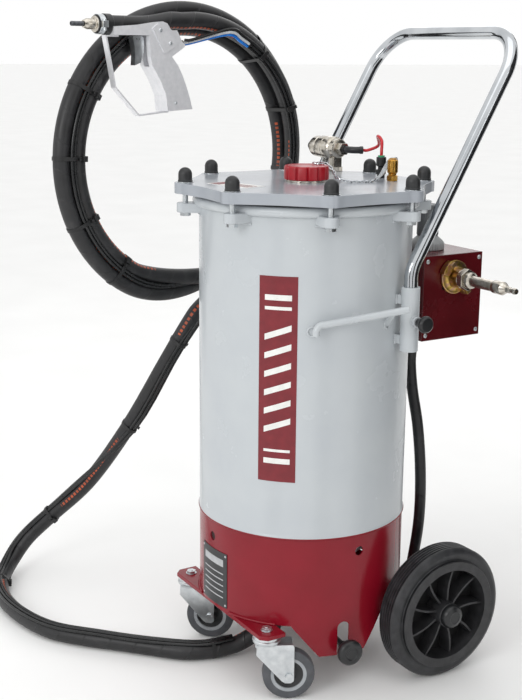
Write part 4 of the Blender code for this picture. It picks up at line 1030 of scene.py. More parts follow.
# %% Exhaust valve
VALVE = Matrix.Translation((-0.230, 0.161, 0.986)) @ Matrix.Rotation(QUARTER, 4, "Y")
valve_body = [
    (0, 0.0100), (0.0120, 0.0100), (0.0150, 0.0135), (0.0205, 0.0245), (0.0210, 0.0265), (0.0210, 0.0395),
]
valve_body += [(0.0195, 0.0410), (0.0195, 0.0440), (0.0220, 0.0455), (0.0225, 0.0470), (0.0225, 0.0650)]
valve_body += [
    (0.0217, 0.0656), (0.0217, 0.0664), (0.0225, 0.0670), (0.0225, 0.0870), (0.0215, 0.0885),
    (0.0190, 0.0915),
]
valve_body += [(0.0190, 0.1035), (0.0150, 0.1060), (0, 0.1060)]
plug = [
    (0, 0.0), (0.0070, 0.0), (0.0080, 0.0010), (0.0080, 0.0080), (0.0110, 0.0085), (0.0120, 0.0100),
    (0, 0.0100),
]
valve = turned(valve_body, 72, matrix=VALVE)
turned(plug, 48, valve, VALVE, 1)
prism(ring(0.0128, 6, 30), 0.106, 0.122, valve, VALVE)
brick((-0.1495, 0.1515, LID_TOP + GAP), (-0.1305, 0.1705, 0.972), valve)
prism(ring(0.0150, 6, 0, (-0.140, 0.161)), LID_TOP + GAP, LID_TOP + 0.009, valve)
solid(
    "exhaust_valve_body", valve, [NICKEL, KNOB_PLASTIC], replaces="exhaust_valve", slot="nickel",
    bevel=0.0005,
)

# %% Elbow, push-in fitting and signal tube
elbow_start = Vector((-0.108 + GAP, 0.161, 0.986))
offsets = ((0, 0, 0), (0.012, 0, 0), (0.022, 0.003, 0), (0.029, 0.010, 0), (0.034, 0.020, 0))
elbow_line = [elbow_start + Vector(offset) for offset in offsets]
elbow = sweep(even(smooth(elbow_line, 6), 0.0025), 0.0068, 24)
outlet_way = (elbow_line[-1] - elbow_line[-2]).normalized()
collar = [(0.0050, -0.006), (0.0076, -0.006), (0.0076, 0), (0.0050, 0)]
turned(collar, 40, elbow, turn_to(outlet_way, elbow_line[-1]))
turned([(0, 0), (0.0078, 0), (0.0078, 0.005), (0, 0.005)], 40, elbow, turn_to((1, 0, 0), elbow_start))
solid("push_elbow", elbow, KNOB_PLASTIC, replaces="valve_elbow", slot="black_plastic")
FIT_X, FIT_Y = 0.012, 0.163
base = LID_TOP + GAP
stem = [(0, base), (0.0075, base), (0.0075, base + 0.006), (0.0062, base + 0.007), (0.0062, base + 0.021)]
stem += [(0.0095, base + 0.0235), (0.0095, base + 0.0385), (0.0085, base + 0.0397), (0, base + 0.0397)]
push = turned(stem, 48, matrix=Matrix.Translation((FIT_X, FIT_Y, 0)))
prism(ring(0.0098, 6, 10, (FIT_X, FIT_Y)), base + 0.007, base + 0.016, push)
release = [(0.0032, base + 0.0397), (0.0062, base + 0.0397), (0.0066, base + 0.0425), (0.0032, base + 0.0425)]
turned(release, 40, push, Matrix.Translation((FIT_X, FIT_Y, 0)), 1)
solid("push_in_fitting", push, [KNOB_PLASTIC, GREEN_PLASTIC], replaces="push_fitting", slot="black_plastic")
first = elbow_line[-1] + outlet_way * GAP
top = Vector((FIT_X, FIT_Y, base + 0.040 + GAP))
signal = [first, first + outlet_way * 0.010, first + outlet_way * 0.026 + Vector((0.008, 0, 0.010))]
signal += [
    top + Vector((-0.030, 0.012, 0.036)), top + Vector((-0.006, 0.004, 0.030)), top + Vector((0, 0, 0.012)),
    top,
]
signal_line = even(smooth(signal), 0.003)
solid("red_signal_tube", sweep(signal_line, 0.003, 16), RED_TUBE, replaces="signal_tube", slot="red_plastic")
print("signal tube", round(length_of(signal_line), 3), "m")

# %% Safety valve and its strap
SAFE = Matrix.Translation((0.068, 0.148, 0))
body = [(0, base), (0.0095, base), (0.0095, base + 0.0095), (0.0075, base + 0.0110), (0.0075, base + 0.0130)]
body += [(0.0100, base + 0.0165), (0.0100, base + 0.0375), (0.0080, base + 0.0397), (0, base + 0.0397)]
safety = turned(body, 48, matrix=SAFE)
prism(ring(0.0112, 6, 15), base + 0.001, base + 0.0095, safety, SAFE)
pull = [
    Vector((0.068 + 0.0065 * math.cos(a), 0.148 + 0.0065 * math.sin(a), base + 0.041)) for a in around(24)
]
sweep(pull + pull[:2], 0.0009, 8, safety)
solid("brass_safety_valve", safety, BRASS, replaces="safety_valve", slot="brass")


def strip(points, width, thick, up=Vector((0, 0, 1)), bm=None, index=0):
    """A flat strip along the points, level across its width."""
    bm = bm or bmesh.new()
    rows = []
    for i, point in enumerate(points):
        ahead = (points[min(i + 1, len(points) - 1)] - points[max(i - 1, 0)]).normalized()
        across = ahead.cross(up).normalized()
        rise = across.cross(ahead)
        corners = ((-1, -1), (1, -1), (1, 1), (-1, 1))
        rows.append([bm.verts.new(point + across * x * width / 2 + rise * z * thick / 2) for x, z in corners])
    for one, two in zip(rows, rows[1:]):
        for k in range(4):
            n = (k + 1) % 4
            bm.faces.new((one[k], one[n], two[n], two[k])).material_index = index
    for cap in (rows[0][::-1], rows[-1]):
        bm.faces.new(cap).material_index = index
    return bm


strap_route = [
    (0.0700, 0.112, 0.9470), (0.066, 0.124, 0.9530), (0.056, 0.140, 0.9640), (0.043, 0.160, 0.9760),
]
strap_route += [(0.030, 0.180, 0.9800), (0.022, 0.190, 0.9740)]
strap = strip(even(smooth(strap_route), 0.004), 0.0090, 0.0014)
solid("braided_strap", strap, WIRE, bevel=0.0004, slot="chrome_tube")
print("lid fittings ready")

# %% [markdown]
# ## Labels
# The maker's sticker, the plate on the skirt and the mark on the lid are given a plain design of their own
# here: bars, a frame and rivets, and no lettering. Each is a thin layer that follows the curved steel.


# %% Curved labels
def curved_patch(bm, start, end, low, high, inner, outer, index=0, slant=0.0):
    """A thin layer round the pot's axis, from one angle to another; slant raises its far end."""
    steps = max(2, math.ceil(abs(end - start) / 1.5))
    rows = []
    for i in range(steps + 1):
        share = i / steps
        a = math.radians(start + (end - start) * share)
        corners = ((inner, low), (outer, low), (outer, high), (inner, high))
        rows.append([bm.verts.new((r * math.cos(a), r * math.sin(a), z + slant * share)) for r, z in corners])
    for one, two in zip(rows, rows[1:]):
        for k in range(4):
            n = (k + 1) % 4
            bm.faces.new((one[k], one[n], two[n], two[k])).material_index = index
    for cap in (rows[0][::-1], rows[-1]):
        bm.faces.new(cap).material_index = index
    return bm


VINYL, INK = POT_R + 0.0004, POT_R + 0.0006
sticker = curved_patch(bmesh.new(), -56.5, -36.5, 0.418, 0.795, POT_R, VINYL)
for low, high in ((0.452, 0.462), (0.474, 0.479), (0.735, 0.741), (0.752, 0.762)):
    curved_patch(sticker, -53.5, -39.5, low, high, POT_R, INK, 1)
for number in range(6):
    low = 0.510 + 0.034 * number
    curved_patch(sticker, -53.5, -39.5, low, low + 0.011, POT_R, INK, 1, 0.018)
solid("maker_sticker", sticker, [LABEL_RED, LABEL_WHITE], slot="skirt_paint")

plate = curved_patch(bmesh.new(), -101.5, -76.5, 0.142, 0.252, POT_R, POT_R + 0.0012)
for low in (0.160, 0.172, 0.184, 0.196, 0.208):
    curved_patch(plate, -98.5, -79.5, low, low + 0.0022, POT_R, POT_R + 0.0014, 1)
curved_patch(plate, -98.5, -79.5, 0.224, 0.238, POT_R, POT_R + 0.0014, 1)
for degrees in (-100.3, -77.7):
    for z in (0.147, 0.247):
        a = math.radians(degrees)
        rivet = turn_to((math.cos(a), math.sin(a), 0), (POT_R * math.cos(a), POT_R * math.sin(a), z))
        turned([(0, 0), (0.0024, 0), (0.0024, 0.0016), (0.0014, 0.0026), (0, 0.0028)], 20, plate, rivet, 1)
solid("rating_plate", plate, [PLATE_BLACK, PLATE_LINE], slot="black_plastic")

MARK_TURN = math.radians(12.5)
mark_at = Matrix.Translation((-0.004, -0.150, 0)) @ Matrix.Rotation(MARK_TURN, 4, "Z")
lid_mark = prism(
    [(-0.052, -0.024), (0.052, -0.024), (0.052, 0.024), (-0.052, 0.024)], LID_TOP, LID_TOP + 0.0003,
    matrix=mark_at,
)
frame_outline = [(-0.048, -0.020), (-0.022, -0.020), (-0.022, 0.020), (-0.048, 0.020)]
prism(frame_outline, LID_TOP, LID_TOP + 0.0005, lid_mark, mark_at, 1)
for y in (-0.014, -0.004, 0.006):
    bar = [(-0.014, y), (0.046, y), (0.046, y + 0.0045), (-0.014, y + 0.0045)]
    prism(bar, LID_TOP, LID_TOP + 0.0005, lid_mark, mark_at, 1)
solid("lid_mark", lid_mark, [LABEL_WHITE, LABEL_RED], slot="lid_paint")
print("labels ready")

# %% [markdown]
# ## Skirt and front bar
# The skirt is a rolled sheet below the pot's seam. Its lower edge drops to a foot over each wheel, and on
# the right a slot in the foot lets the outlet spindle through. A flat bar across the front carries the
# casters, and rippled welds join it to the skirt.

# %% Skirt
SKIRT_TOP, SKIRT_FRONT, SKIRT_REAR, SKIRT_FOOT = 0.3072, 0.1353, 0.1463, 0.073
FOOT_TURN, FOOT_HALF, FOOT_SLOPE = (math.radians(d) for d in (-8.6, 13.5, 15.5))


def skirt_edge(angle):
    """Height of the skirt's lower edge."""
    folded = math.atan2(math.sin(angle), math.cos(angle))
    if abs(folded) > math.pi / 2:
        folded = math.copysign(math.pi, folded) - folded
    base_z = SKIRT_REAR if folded > 0 else SKIRT_FRONT
    share = min(1.0, max(0.0, (abs(folded - FOOT_TURN) - FOOT_HALF) / FOOT_SLOPE))
    return SKIRT_FOOT + (base_z - SKIRT_FOOT) * share


corner_turns = [
    FOOT_TURN + off for off in (-FOOT_HALF - FOOT_SLOPE, -FOOT_HALF, FOOT_HALF, FOOT_HALF + FOOT_SLOPE)
]
corner_turns += [math.pi - a for a in corner_turns]
turns = sorted({round(a % math.tau, 6) for a in around(144) + corner_turns})
skirt_mesh, loops = bmesh.new(), []
for radius, level in ((POT_R, 0), (POT_R, SKIRT_TOP), (POT_R - 0.003, SKIRT_TOP), (POT_R - 0.003, 0)):
    spots = [(radius * math.cos(a), radius * math.sin(a), level or skirt_edge(a)) for a in turns]
    loops.append([skirt_mesh.verts.new(spot) for spot in spots])
for one, two in zip(loops, loops[1:] + loops[:1]):
    for i in range(len(turns)):
        j = (i + 1) % len(turns)
        skirt_mesh.faces.new((one[i], one[j], two[j], two[i]))
skirt = solid("painted_skirt", skirt_mesh, SKIRT_ENAMEL, replaces="skirt", slot="skirt_paint")
drills = bmesh.new()
for angle in around(4):
    outward = Vector((math.cos(angle), math.sin(angle), 0))
    turned([(0, 0.17), (0.009, 0.17), (0.009, 0.23), (0, 0.23)], 40, drills, turn_to(outward, (0, 0, 0.2755)))
cut(skirt, drills)
arch = [(0.012, 0.05)] + arc(0.012, 0, 180, 16, (0, 0.127)) + [(-0.012, 0.05)]
through = Matrix.Rotation(FOOT_TURN + QUARTER, 4, "Z") @ Matrix.Rotation(QUARTER, 4, "X")
cut(skirt, prism(arch, -0.23, -0.17, matrix=Matrix.Rotation(math.pi, 4, "Z") @ through))
soften(skirt, 0.0006)
print("skirt faces:", len(skirt.data.polygons))

# %% Front bar and its welds
BAR_LOW, BAR_TOP, BAR_Y = 0.127, 0.135, -0.168
bar = [(-0.175, -0.013), (-0.163, -0.025), (0.163, -0.025), (0.175, -0.013), (0.175, 0.025), (-0.175, 0.025)]
bar = [(x, BAR_Y + y) for x, y in bar]
crossbar = solid(
    "front_bar", prism(bar, BAR_LOW, BAR_TOP), SKIRT_ENAMEL, replaces="front_crossbar", slot="skirt_paint",
)
soften(crossbar, 0.0012)
beads = bmesh.new()
for start, end in ((-74.5, -46.0), (-134.0, -105.5)):
    weld([(*spot, BAR_TOP + 0.0012) for spot in arc(0.2008, start, end, 10)], 0.0030, beads)
weld([(*spot, 0.3080) for spot in arc(0.2002, 0, 360, 60)], 0.0022, beads)
solid("skirt_welds", beads, SKIRT_ENAMEL, slot="skirt_paint", sharp=80)
refinish("axle_beam", SKIRT_ENAMEL, 0.0010)
refinish("rear_axle", STEEL, 0.0008)
print("chassis ready")

# %% [markdown]
# ## Wheels
# A moulded wheel has a flat rim ring, a closed web, nine thin curved ribs and a hub, with a solid rubber
# tyre pressed over it. The web gets a darker copy of the wheel's plastic, which is painted shade for its
# recess. The tyre's sidewall is a shiny cone, and its tread has five grooves.

# %% Wheels
tyre_half = [
    (0.0958, 0.025), (0.1075, 0.025), (0.1085, 0.0238), (0.1185, 0.0250), (0.1200, 0.0247), (0.1262, 0.0216),
]
tyre_half += [(0.1282, 0.0190)]
grooves = []
for z in (0.0130, 0.0065, 0.0, -0.0065, -0.0130):
    grooves += [(0.1300, z + 0.0019), (0.1272, z + 0.0010), (0.1272, z - 0.0010), (0.1300, z - 0.0019)]
tyre = tyre_half + [(0.1300, 0.0165)] + grooves + [(0.1300, -0.0165)] + [
    (r, -z) for r, z in reversed(tyre_half)
]
rim = [(0.0890, -0.031), (0.1055, -0.031), (0.1065, -0.030), (0.1065, -0.028), (0.0955, -0.0255)]
rim = rim + [(r, -z) for r, z in reversed(rim)]
web = [(0.020, -0.0140), (0.092, -0.0140), (0.092, -0.0100), (0.020, -0.0100)]
hub = [
    (0.0103, -0.033), (0.0230, -0.033), (0.0240, -0.032), (0.0240, 0.032), (0.0230, 0.033), (0.0103, 0.033),
]
hub_face = [
    (0, 0.0333), (0.0228, 0.0333), (0.0235, 0.0340), (0.0235, 0.0405), (0.0200, 0.0460), (0.0120, 0.0490),
]
hub_face += [(0.0110, 0.0482), (0, 0.0480)]
WHEEL_X, WHEEL_Y, WHEEL_R = 0.230, 0.172, 0.130
for side, sign in (("right", 1), ("left", -1)):
    place = Matrix.Translation((sign * WHEEL_X, WHEEL_Y, WHEEL_R)) @ Matrix.Rotation(sign * QUARTER, 4, "Y")
    options = {"body": f"wheel_{side}", "matrix": place}
    wheel = turned(rim, 96)
    turned(web, 96, wheel, index=1)
    turned(hub, 64, wheel)
    for angle in around(9, QUARTER):
        spine = [(0.0225 + 0.0675 * i / 8, 0.0040 * math.sin(math.pi * i / 8)) for i in range(9)]
        rib = [(x, y - 0.0020) for x, y in spine] + [(x, y + 0.0020) for x, y in reversed(spine)]
        prism(rib, -0.0105, 0.0200, wheel, Matrix.Rotation(angle, 4, "Z"))
    # The web's finish is painted shade: a darker copy of the wheel's plastic.
    finishes = [WHEEL_PLASTIC, WEB_PAINTED_SHADE]
    solid(
        f"ribbed_wheel_{side}", wheel, finishes, replaces=f"wheel_rim_{side}", slot="wheel_plastic",
        **options,
    )
    solid(
        f"tyre_{side}", turned(tyre, 128), TYRE_RUBBER, replaces=f"wheel_tyre_{side}", slot="tyre_rubber",
        **options,
    )
    cover = turned(hub_face, 12)
    solid(
        f"domed_hub_cap_{side}", cover, KNOB_PLASTIC, replaces=f"hub_cap_{side}",
        slot="black_plastic", bevel=0.0008, **options,
    )
print("wheels ready")

# %% [markdown]
# ## Casters
# A caster's fork is pressed from zinc-plated plate. Two rings make its ball race, a bolt with a hexagon
# head holds it to the bar, and its wheel has a grey tread on a lighter ring with a dark dished centre.

# %% Casters
CASTER_X, CASTER_R, TRAIL, RACE_TOP = 0.148, 0.049, 0.041, 0.1267
arm = [
    (-0.0195, 0.1120), (-0.0200, 0.0930), (0.0275, 0.0395), (0.0340, 0.0352), (0.0450, 0.0350),
    (0.0500, 0.0390),
]
arm += [(0.0505, 0.0440), (0.0505, 0.1080), (0.0480, 0.1120)]
race = [
    (0.0043, 0.1107), (0.0235, 0.1107), (0.0240, 0.1113), (0.0240, 0.1132), (0.0262, 0.1150),
    (0.0270, 0.1168),
]
race += [
    (0.0270, 0.1200), (0.0258, 0.1212), (0.0246, 0.1217), (0.0246, 0.1226), (0.0240, 0.1262),
    (0.0232, RACE_TOP),
]
race += [(0.0043, RACE_TOP)]
tread = [(0.0330, 0.0118), (0.0450, 0.0120), (0.0478, 0.0105), (0.0488, 0.0078), (0.0490, 0.0)]
tread = [(r, -z) for r, z in tread] + [(r, z) for r, z in reversed(tread[:-1])]
lip = [(0.0270, 0.0100), (0.0275, 0.0116), (0.0335, 0.0120)]
lip = [(r, -z) for r, z in lip] + [(r, z) for r, z in reversed(lip)]
dish = [
    (0.0043, 0.0147), (0.0098, 0.0147), (0.0104, 0.0140), (0.0110, 0.0085), (0.0160, 0.0060),
    (0.0275, 0.0096),
]
dish = [(r, -z) for r, z in dish] + [(r, z) for r, z in reversed(dish)]
for side, sign, heading in (("right", 1, 62.5), ("left", -1, 50.0)):
    place = Matrix.Translation((sign * CASTER_X, BAR_Y, 0))
    bolt = turned([(0, 0.1140), (0.0040, 0.1140), (0.0040, BAR_TOP + GAP), (0, BAR_TOP + GAP)], 24)
    turned([(0, 0.1353), (0.0110, 0.1353), (0.0110, 0.1364), (0, 0.1364)], 32, bolt)
    prism(ring(0.0095, 6, 20), 0.1364, 0.1408, bolt)
    turned([(0, 0.1408), (0.0040, 0.1408), (0.0034, 0.1418), (0, 0.1418)], 20, bolt)
    zinc = {"slot": "caster_zinc", "matrix": place}
    solid(f"caster_stem_{side}", bolt, ZINC, replaces=f"caster_bolt_{side}", bevel=0.0004, **zinc)
    swung = place @ Matrix.Rotation(math.radians(heading), 4, "Z")
    fork = turned(race, 64)
    standing = Matrix.Rotation(QUARTER, 4, "X")
    for offset in (-0.0165, 0.0165):
        prism(arm, -0.0015 - offset, 0.0015 - offset, fork, standing)
    brick((-0.0195, -0.0178, 0.1098), (0.0480, 0.0178, 0.1122), fork)
    hub_turn = Matrix.Translation((TRAIL, 0, CASTER_R)) @ standing
    turned([(0, -0.0205), (0.0042, -0.0205), (0.0042, 0.0205), (0, 0.0205)], 24, fork, hub_turn)
    for low, high in ((-0.0222, -0.0181), (0.0181, 0.0222)):
        prism(ring(0.0078, 6), low, high, fork, hub_turn)
    solid(
        f"pressed_fork_{side}", fork, ZINC, body=f"caster_{side}", replaces=f"caster_fork_{side}",
        slot="caster_zinc", matrix=swung, bevel=0.0007,
    )
    roller = turned(tread, 96)
    turned(lip, 96, roller, index=1)
    turned(dish, 64, roller, index=2)
    solid(
        f"caster_roller_{side}", roller, [
            CASTER_TREAD, CASTER_HUB, KNOB_PLASTIC,
        ], body=f"caster_roller_{side}",
        replaces=f"caster_wheel_{side}", slot="caster_rubber", matrix=swung @ hub_turn,
    )
print("casters ready")

# %% [markdown]
# ## Push handle
# One 25 mm chromed tube makes both legs and the top. Each leg stands in a sleeve that is welded to the
# pot by two tabs, and a black knob on the sleeve's boss clamps it.

# %% Handle
HANDLE_X, HANDLE_Y, TUBE_HALF = 0.205, 0.0935, 0.0125
LEAN, BEND_R, CORNER_R = math.radians(30), 0.06, 0.085
lean = Vector((0, math.sin(LEAN), math.cos(LEAN)))
start = Vector((0, HANDLE_Y, 0.797 - BEND_R * math.tan(LEAN / 2)))
leg = [Vector((0, HANDLE_Y, 0.655 + 0.01 * i)) for i in range(12)]
for i in range(13):
    a = LEAN * i / 12
    leg.append(start + Vector((0, BEND_R * (1 - math.cos(a)), BEND_R * math.sin(a))))
rise = (1.212 - leg[-1].z) / lean.z - CORNER_R
corner = leg[-1] + lean * rise
half_path = [Vector((HANDLE_X, p.y, p.z)) for p in leg]
centre = corner + Vector((HANDLE_X - CORNER_R, 0, 0))
for i in range(25):
    a = QUARTER * i / 24
    half_path.append(centre + CORNER_R * (Vector((math.cos(a), 0, 0)) + lean * math.sin(a)))
handle_path = half_path + [Vector((-p.x, p.y, p.z)) for p in reversed(half_path)]
handle = sweep(handle_path, TUBE_HALF, 48)
solid("chrome_handle", handle, CHROME, replaces="push_handle", slot="chrome_tube", bevel=0.0010, sharp=60)
print("handle tube", round(length_of(handle_path), 3), "m")

# %% Sleeves, tabs and clamp knobs
SLEEVE_R, SLEEVE_LOW, SLEEVE_HIGH, CLAMP_Z = 0.0170, 0.648, 0.766, 0.705
wall = [(0.0131, SLEEVE_LOW), (SLEEVE_R - 0.0006, SLEEVE_LOW), (SLEEVE_R, SLEEVE_LOW + 0.0006)]
wall += [(SLEEVE_R, SLEEVE_HIGH - 0.0006), (SLEEVE_R - 0.0006, SLEEVE_HIGH), (0.0131, SLEEVE_HIGH)]
knob = [(0, 0.0128), (0.0040, 0.0128), (0.0040, 0.0255), (0.0072, 0.0257), (0.0078, 0.0262), (0.0083, 0.0350)]
knob += [
    (0.0100, 0.0385), (0.0138, 0.0408), (0.0154, 0.0435), (0.0158, 0.0465), (0.0148, 0.0495),
    (0.0120, 0.0520), (0, 0.0530),
]
for side, sign in (("right", 1), ("left", -1)):
    sleeve = turned(wall, 64, matrix=Matrix.Translation((sign * HANDLE_X, HANDLE_Y, 0)))
    facing = Matrix.Rotation(math.atan2(HANDLE_Y, sign * HANDLE_X), 4, "Z")
    reach = math.hypot(HANDLE_X, HANDLE_Y)
    for z in (SLEEVE_LOW + 0.020, SLEEVE_HIGH - 0.024):
        brick((POT_R + GAP, -0.007, z - 0.008), (reach - 0.0150, 0.007, z + 0.008), sleeve, facing)
        for y in (-0.0078, 0.0078):
            line = [facing @ Vector((POT_R + 0.0010, y, z + dz)) for dz in (-0.009, -0.003, 0.003, 0.009)]
            weld(line, 0.0022, sleeve)
    out = Matrix.Translation((sign * HANDLE_X, HANDLE_Y, CLAMP_Z)) @ Matrix.Rotation(sign * QUARTER, 4, "Y")
    boss = [(0.0046, 0.0150), (0.0095, 0.0150), (0.0095, 0.0232), (0.0088, 0.0240), (0.0046, 0.0240)]
    turned(boss, 48, sleeve, out)
    bead = [out @ Vector((0.0100 * math.cos(a), 0.0100 * math.sin(a), 0.0162)) for a in around(24)]
    weld(bead + bead[:2], 0.0018, sleeve)
    solid(f"welded_sleeve_{side}", sleeve, POT_ENAMEL, replaces=f"handle_sleeve_{side}", slot="pot_paint")
    grip = turned(knob, 48, matrix=out)
    body = f"knob_{side}"
    solid(
        f"mushroom_knob_{side}", grip, KNOB_PLASTIC, body=body, replaces=f"clamp_knob_{side}",
        slot="black_plastic",
    )
print("handle ready")

# %% [markdown]
# ## Hose hangers
# A bent 13 mm bar on each side carries the coiled hose. One end stands on the pot in a pool of weld, and a
# short stub braces the other.

# %% Hangers
for side, sign in (("right", 1), ("left", -1)):
    route = [
        (0.1925, -0.101, 0.694), (0.193, -0.101, 0.704), (0.1945, -0.094, 0.7125), (0.201, -0.080, 0.7150),
    ]
    route += [(0.232, -0.018, 0.7270), (0.264, 0.045, 0.7400)]
    route = [Vector((sign * x, y, z)) for x, y, z in route]
    hanger = sweep(even(smooth(route[:5], 6), 0.004) + [route[5]], 0.0065, 28)
    top = route[-2].lerp(route[-1], 0.62)
    seat = Vector((sign * 0.1935, 0.052, 0.700))
    sweep([seat, top.lerp(seat, 0.5), top], 0.0055, 24, hanger)
    for spot, radius in (
        (Vector((sign * 0.1755, -0.0975, 0.698)), 0.0085), (Vector((sign * 0.1935, 0.0515, 0.699)), 0.0075),
    ):
        outward = Vector((spot.x, spot.y, 0)).normalized()
        face = Vector((outward.x * (POT_R + 0.0004), outward.y * (POT_R + 0.0004), spot.z))
        around_it = Vector((0, 0, 1)).cross(outward)
        loop = [
            face + radius * (around_it * math.cos(a) + Vector((0, 0, 1)) * math.sin(a)) for a in around(20)
        ]
        weld(loop + loop[:2], 0.0024, hanger)
    solid(
        f"hanger_bar_{side}", hanger, POT_ENAMEL, replaces=f"hose_hanger_{side}", slot="pot_paint",
        bevel=0.0008,
    )
print("hangers ready")

# %% [markdown]
# ## Control box
# The box is folded from 2 mm sheet and powder coated. A separate cover with a window closes its right side,
# held by three zinc screws. The claw coupling for the compressor hose comes out through the window.

# %% Box and cover
BOX_LOW, BOX_HIGH, BOX_FRONT, BOX_REAR, BOX_HALF = 0.630, 0.796, 0.2055, 0.350, 0.100
COUPLING_Y, COUPLING_Z = 0.279, 0.752
box = solid(
    "folded_box",
    brick((-BOX_HALF, BOX_FRONT, BOX_LOW), (BOX_HALF, BOX_REAR, BOX_HIGH)),
    BOX_ENAMEL,
    replaces="control_box",
    slot="box_paint",
)
cut(box, brick((-0.028, POT_R + GAP, 0.660), (0.028, BOX_FRONT + 0.001, 0.766)), operation="UNION")
cut(box, brick((-0.098, BOX_FRONT + 0.002, 0.632), (0.11, 0.348, 0.794)))
soften(box, 0.0016)
sheet = brick((BOX_HALF + GAP, BOX_FRONT, BOX_LOW), (BOX_HALF + GAP + 0.002, BOX_REAR, BOX_HIGH))
cover = solid("box_side_cover", sheet, BOX_ENAMEL, replaces="box_cover", slot="box_paint")
cut(cover, brick((0.09, 0.252, 0.728), (0.11, 0.299, 0.774)))
soften(cover, 0.0007)
screws = bmesh.new()
for y, z in ((0.214, 0.786), (0.341, 0.786), (0.214, 0.641), (0.341, 0.641)):
    pan_screw(screws, turn_to((1, 0, 0), (BOX_HALF + GAP + 0.002, y, z)), 0.0042, 0.0026)
solid("cover_screws", screws, ZINC, slot="chrome_tube")
dark = bmesh.new()
brick((0.060, 0.2490, 0.7250), (0.0985, 0.3020, 0.7770), dark)
solid("box_inlet_body", dark, KNOB_PLASTIC, slot="black_plastic", bevel=0.002)
print("box faces:", len(box.data.polygons))

# %% Claw coupling and nipple
COUPLING = Matrix.Translation((0.1026, COUPLING_Y, COUPLING_Z)) @ Matrix.Rotation(QUARTER, 4, "Y")
flange = [
    (0, 0), (0.0320, 0), (0.0330, 0.0010), (0.0330, 0.0048), (0.0315, 0.0060), (0.0240, 0.0064),
    (0.0205, 0.0085),
]
flange += [(0.0190, 0.0130), (0.0185, 0.0290), (0.0175, 0.0300), (0, 0.0300)]
claws = turned(flange, 72, matrix=COUPLING)
for angle in (52, 232):
    claw = [(0.024, angle - 26)] + [(0.0385, angle - 24 + 6 * i) for i in range(9)] + [(0.024, angle + 26)]
    outline = [(r * math.cos(math.radians(a)), r * math.sin(math.radians(a))) for r, a in claw]
    prism(outline, 0.0020, 0.0155, claws, COUPLING)
    hook = [(r * 0.985, a) for r, a in claw[1:5]] + [(0.0290, angle - 6), (0.0290, angle - 24)]
    outline = [(r * math.cos(math.radians(a)), r * math.sin(math.radians(a))) for r, a in hook]
    prism(outline, 0.0150, 0.0230, claws, COUPLING)
solid("claw_coupling", claws, YELLOW_ZINC, replaces="inlet_coupling", slot="yellow_zinc", bevel=0.0009)
hexes = prism(ring(0.0213, 6), 0.0300, 0.0440, matrix=COUPLING)
turned([(0, 0.0290), (0.0190, 0.0290), (0.0190, 0.0303), (0, 0.0303)], 48, hexes, COUPLING)
solid("coupling_hexagon", hexes, NICKEL, slot="nickel", bevel=0.0010)
TIP = 0.279 - 0.1026
nipple = [
    (0, 0.0443), (0.0150, 0.0443), (0.0155, 0.0450), (0.0155, 0.0535), (0.0148, 0.0545), (0.0105, 0.0573),
]
nipple += [(0.0105, TIP - 0.0600), (0.0115, TIP - 0.0590), (0.0125, TIP - 0.0575), (0.0125, TIP - 0.0350)]
nipple += [(0.0118, TIP - 0.0340), (0.0075, TIP - 0.0265), (0.0060, TIP - 0.0250), (0.0060, TIP - 0.0165)]
nipple += [(0.0048, TIP - 0.0145), (0.0048, TIP - 0.0090), (0.0060, TIP - 0.0072), (0.0060, TIP - 0.0030)]
nipple += [(0.0050, TIP), (0.0030, TIP), (0.0030, TIP - 0.010), (0, TIP - 0.010)]
solid("stepped_nipple", turned(nipple, 64, matrix=COUPLING), NICKEL, replaces="air_nipple", slot="nickel")
print("the nipple reaches", round(TIP, 4), "m from the flange")

# %% Regulator and its knob
REGULATOR = Matrix.Translation((0.022, 0.275, 0))
foot = BOX_HIGH + GAP
collar = [(0.97, foot, 1), (1.0, foot + 0.001, 1), (1.0, foot + 0.0120, 1), (0.96, foot + 0.0140, 0.6)]
collar += [(0.88, foot + 0.0172, 0), (0.62, foot + 0.0250, 0), (0.60, foot + 0.0258, 0)]
collar_mesh = fluted(collar, 0.034, 36, 0.0010, 288)
solid(
    "ribbed_collar", collar_mesh, COLLAR_GREY, replaces="regulator", slot="regulator_grey", matrix=REGULATOR,
)
low = foot + 0.0263
grip = [(0.93, low, 1), (1.0, low + 0.0030, 1), (0.985, low + 0.0180, 1), (0.955, low + 0.0580, 1)]
grip += [(0.92, low + 0.0605, 0.6), (0.86, low + 0.0618, 0), (0.70, low + 0.0618, 0), (0.66, low + 0.0608, 0)]
grip_mesh = fluted(grip, 0.0215, 30, 0.0009, 240)
solid(
    "regulator_grip",
    grip_mesh,
    GREY_PLASTIC,
    body="pressure_knob",
    replaces="regulator_knob",
    slot="black_plastic",
    matrix=REGULATOR,
)
print("control box ready")

# %% [markdown]
# ## Outlet
# A valve under the pot meters the grit into the tee, and a long spindle brings its big black mushroom knob
# out through the slot in the skirt.

# %% Outlet knob, valve and tee
SPINDLE = Matrix.Translation((0, 0, 0.090)) @ Matrix.Rotation(
    FOOT_TURN, 4, "Z",
) @ Matrix.Rotation(QUARTER, 4, "Y")
mushroom = [
    (0, 0.0365), (0.0060, 0.0365), (0.0060, 0.1960), (0.0090, 0.1978), (0.0095, 0.2000), (0.0092, 0.2050),
]
mushroom += [
    (0.0100, 0.2105), (0.0130, 0.2150), (0.0180, 0.2185), (0.0225, 0.2218), (0.0241, 0.2255),
    (0.0245, 0.2305),
]
mushroom += [
    (0.0236, 0.2345), (0.0215, 0.2372), (0.0170, 0.2388), (0.0120, 0.2390), (0.0105, 0.2375), (0, 0.2370),
]
outlet = turned(mushroom, 72, matrix=SPINDLE)
solid("grit_knob", outlet, KNOB_PLASTIC, body="outlet_spindle", replaces="outlet_knob", slot="black_plastic")
refinish("outlet_valve", NICKEL, 0.0008)
refinish("mixing_tee", NICKEL, 0.0008)
print("outlet ready")

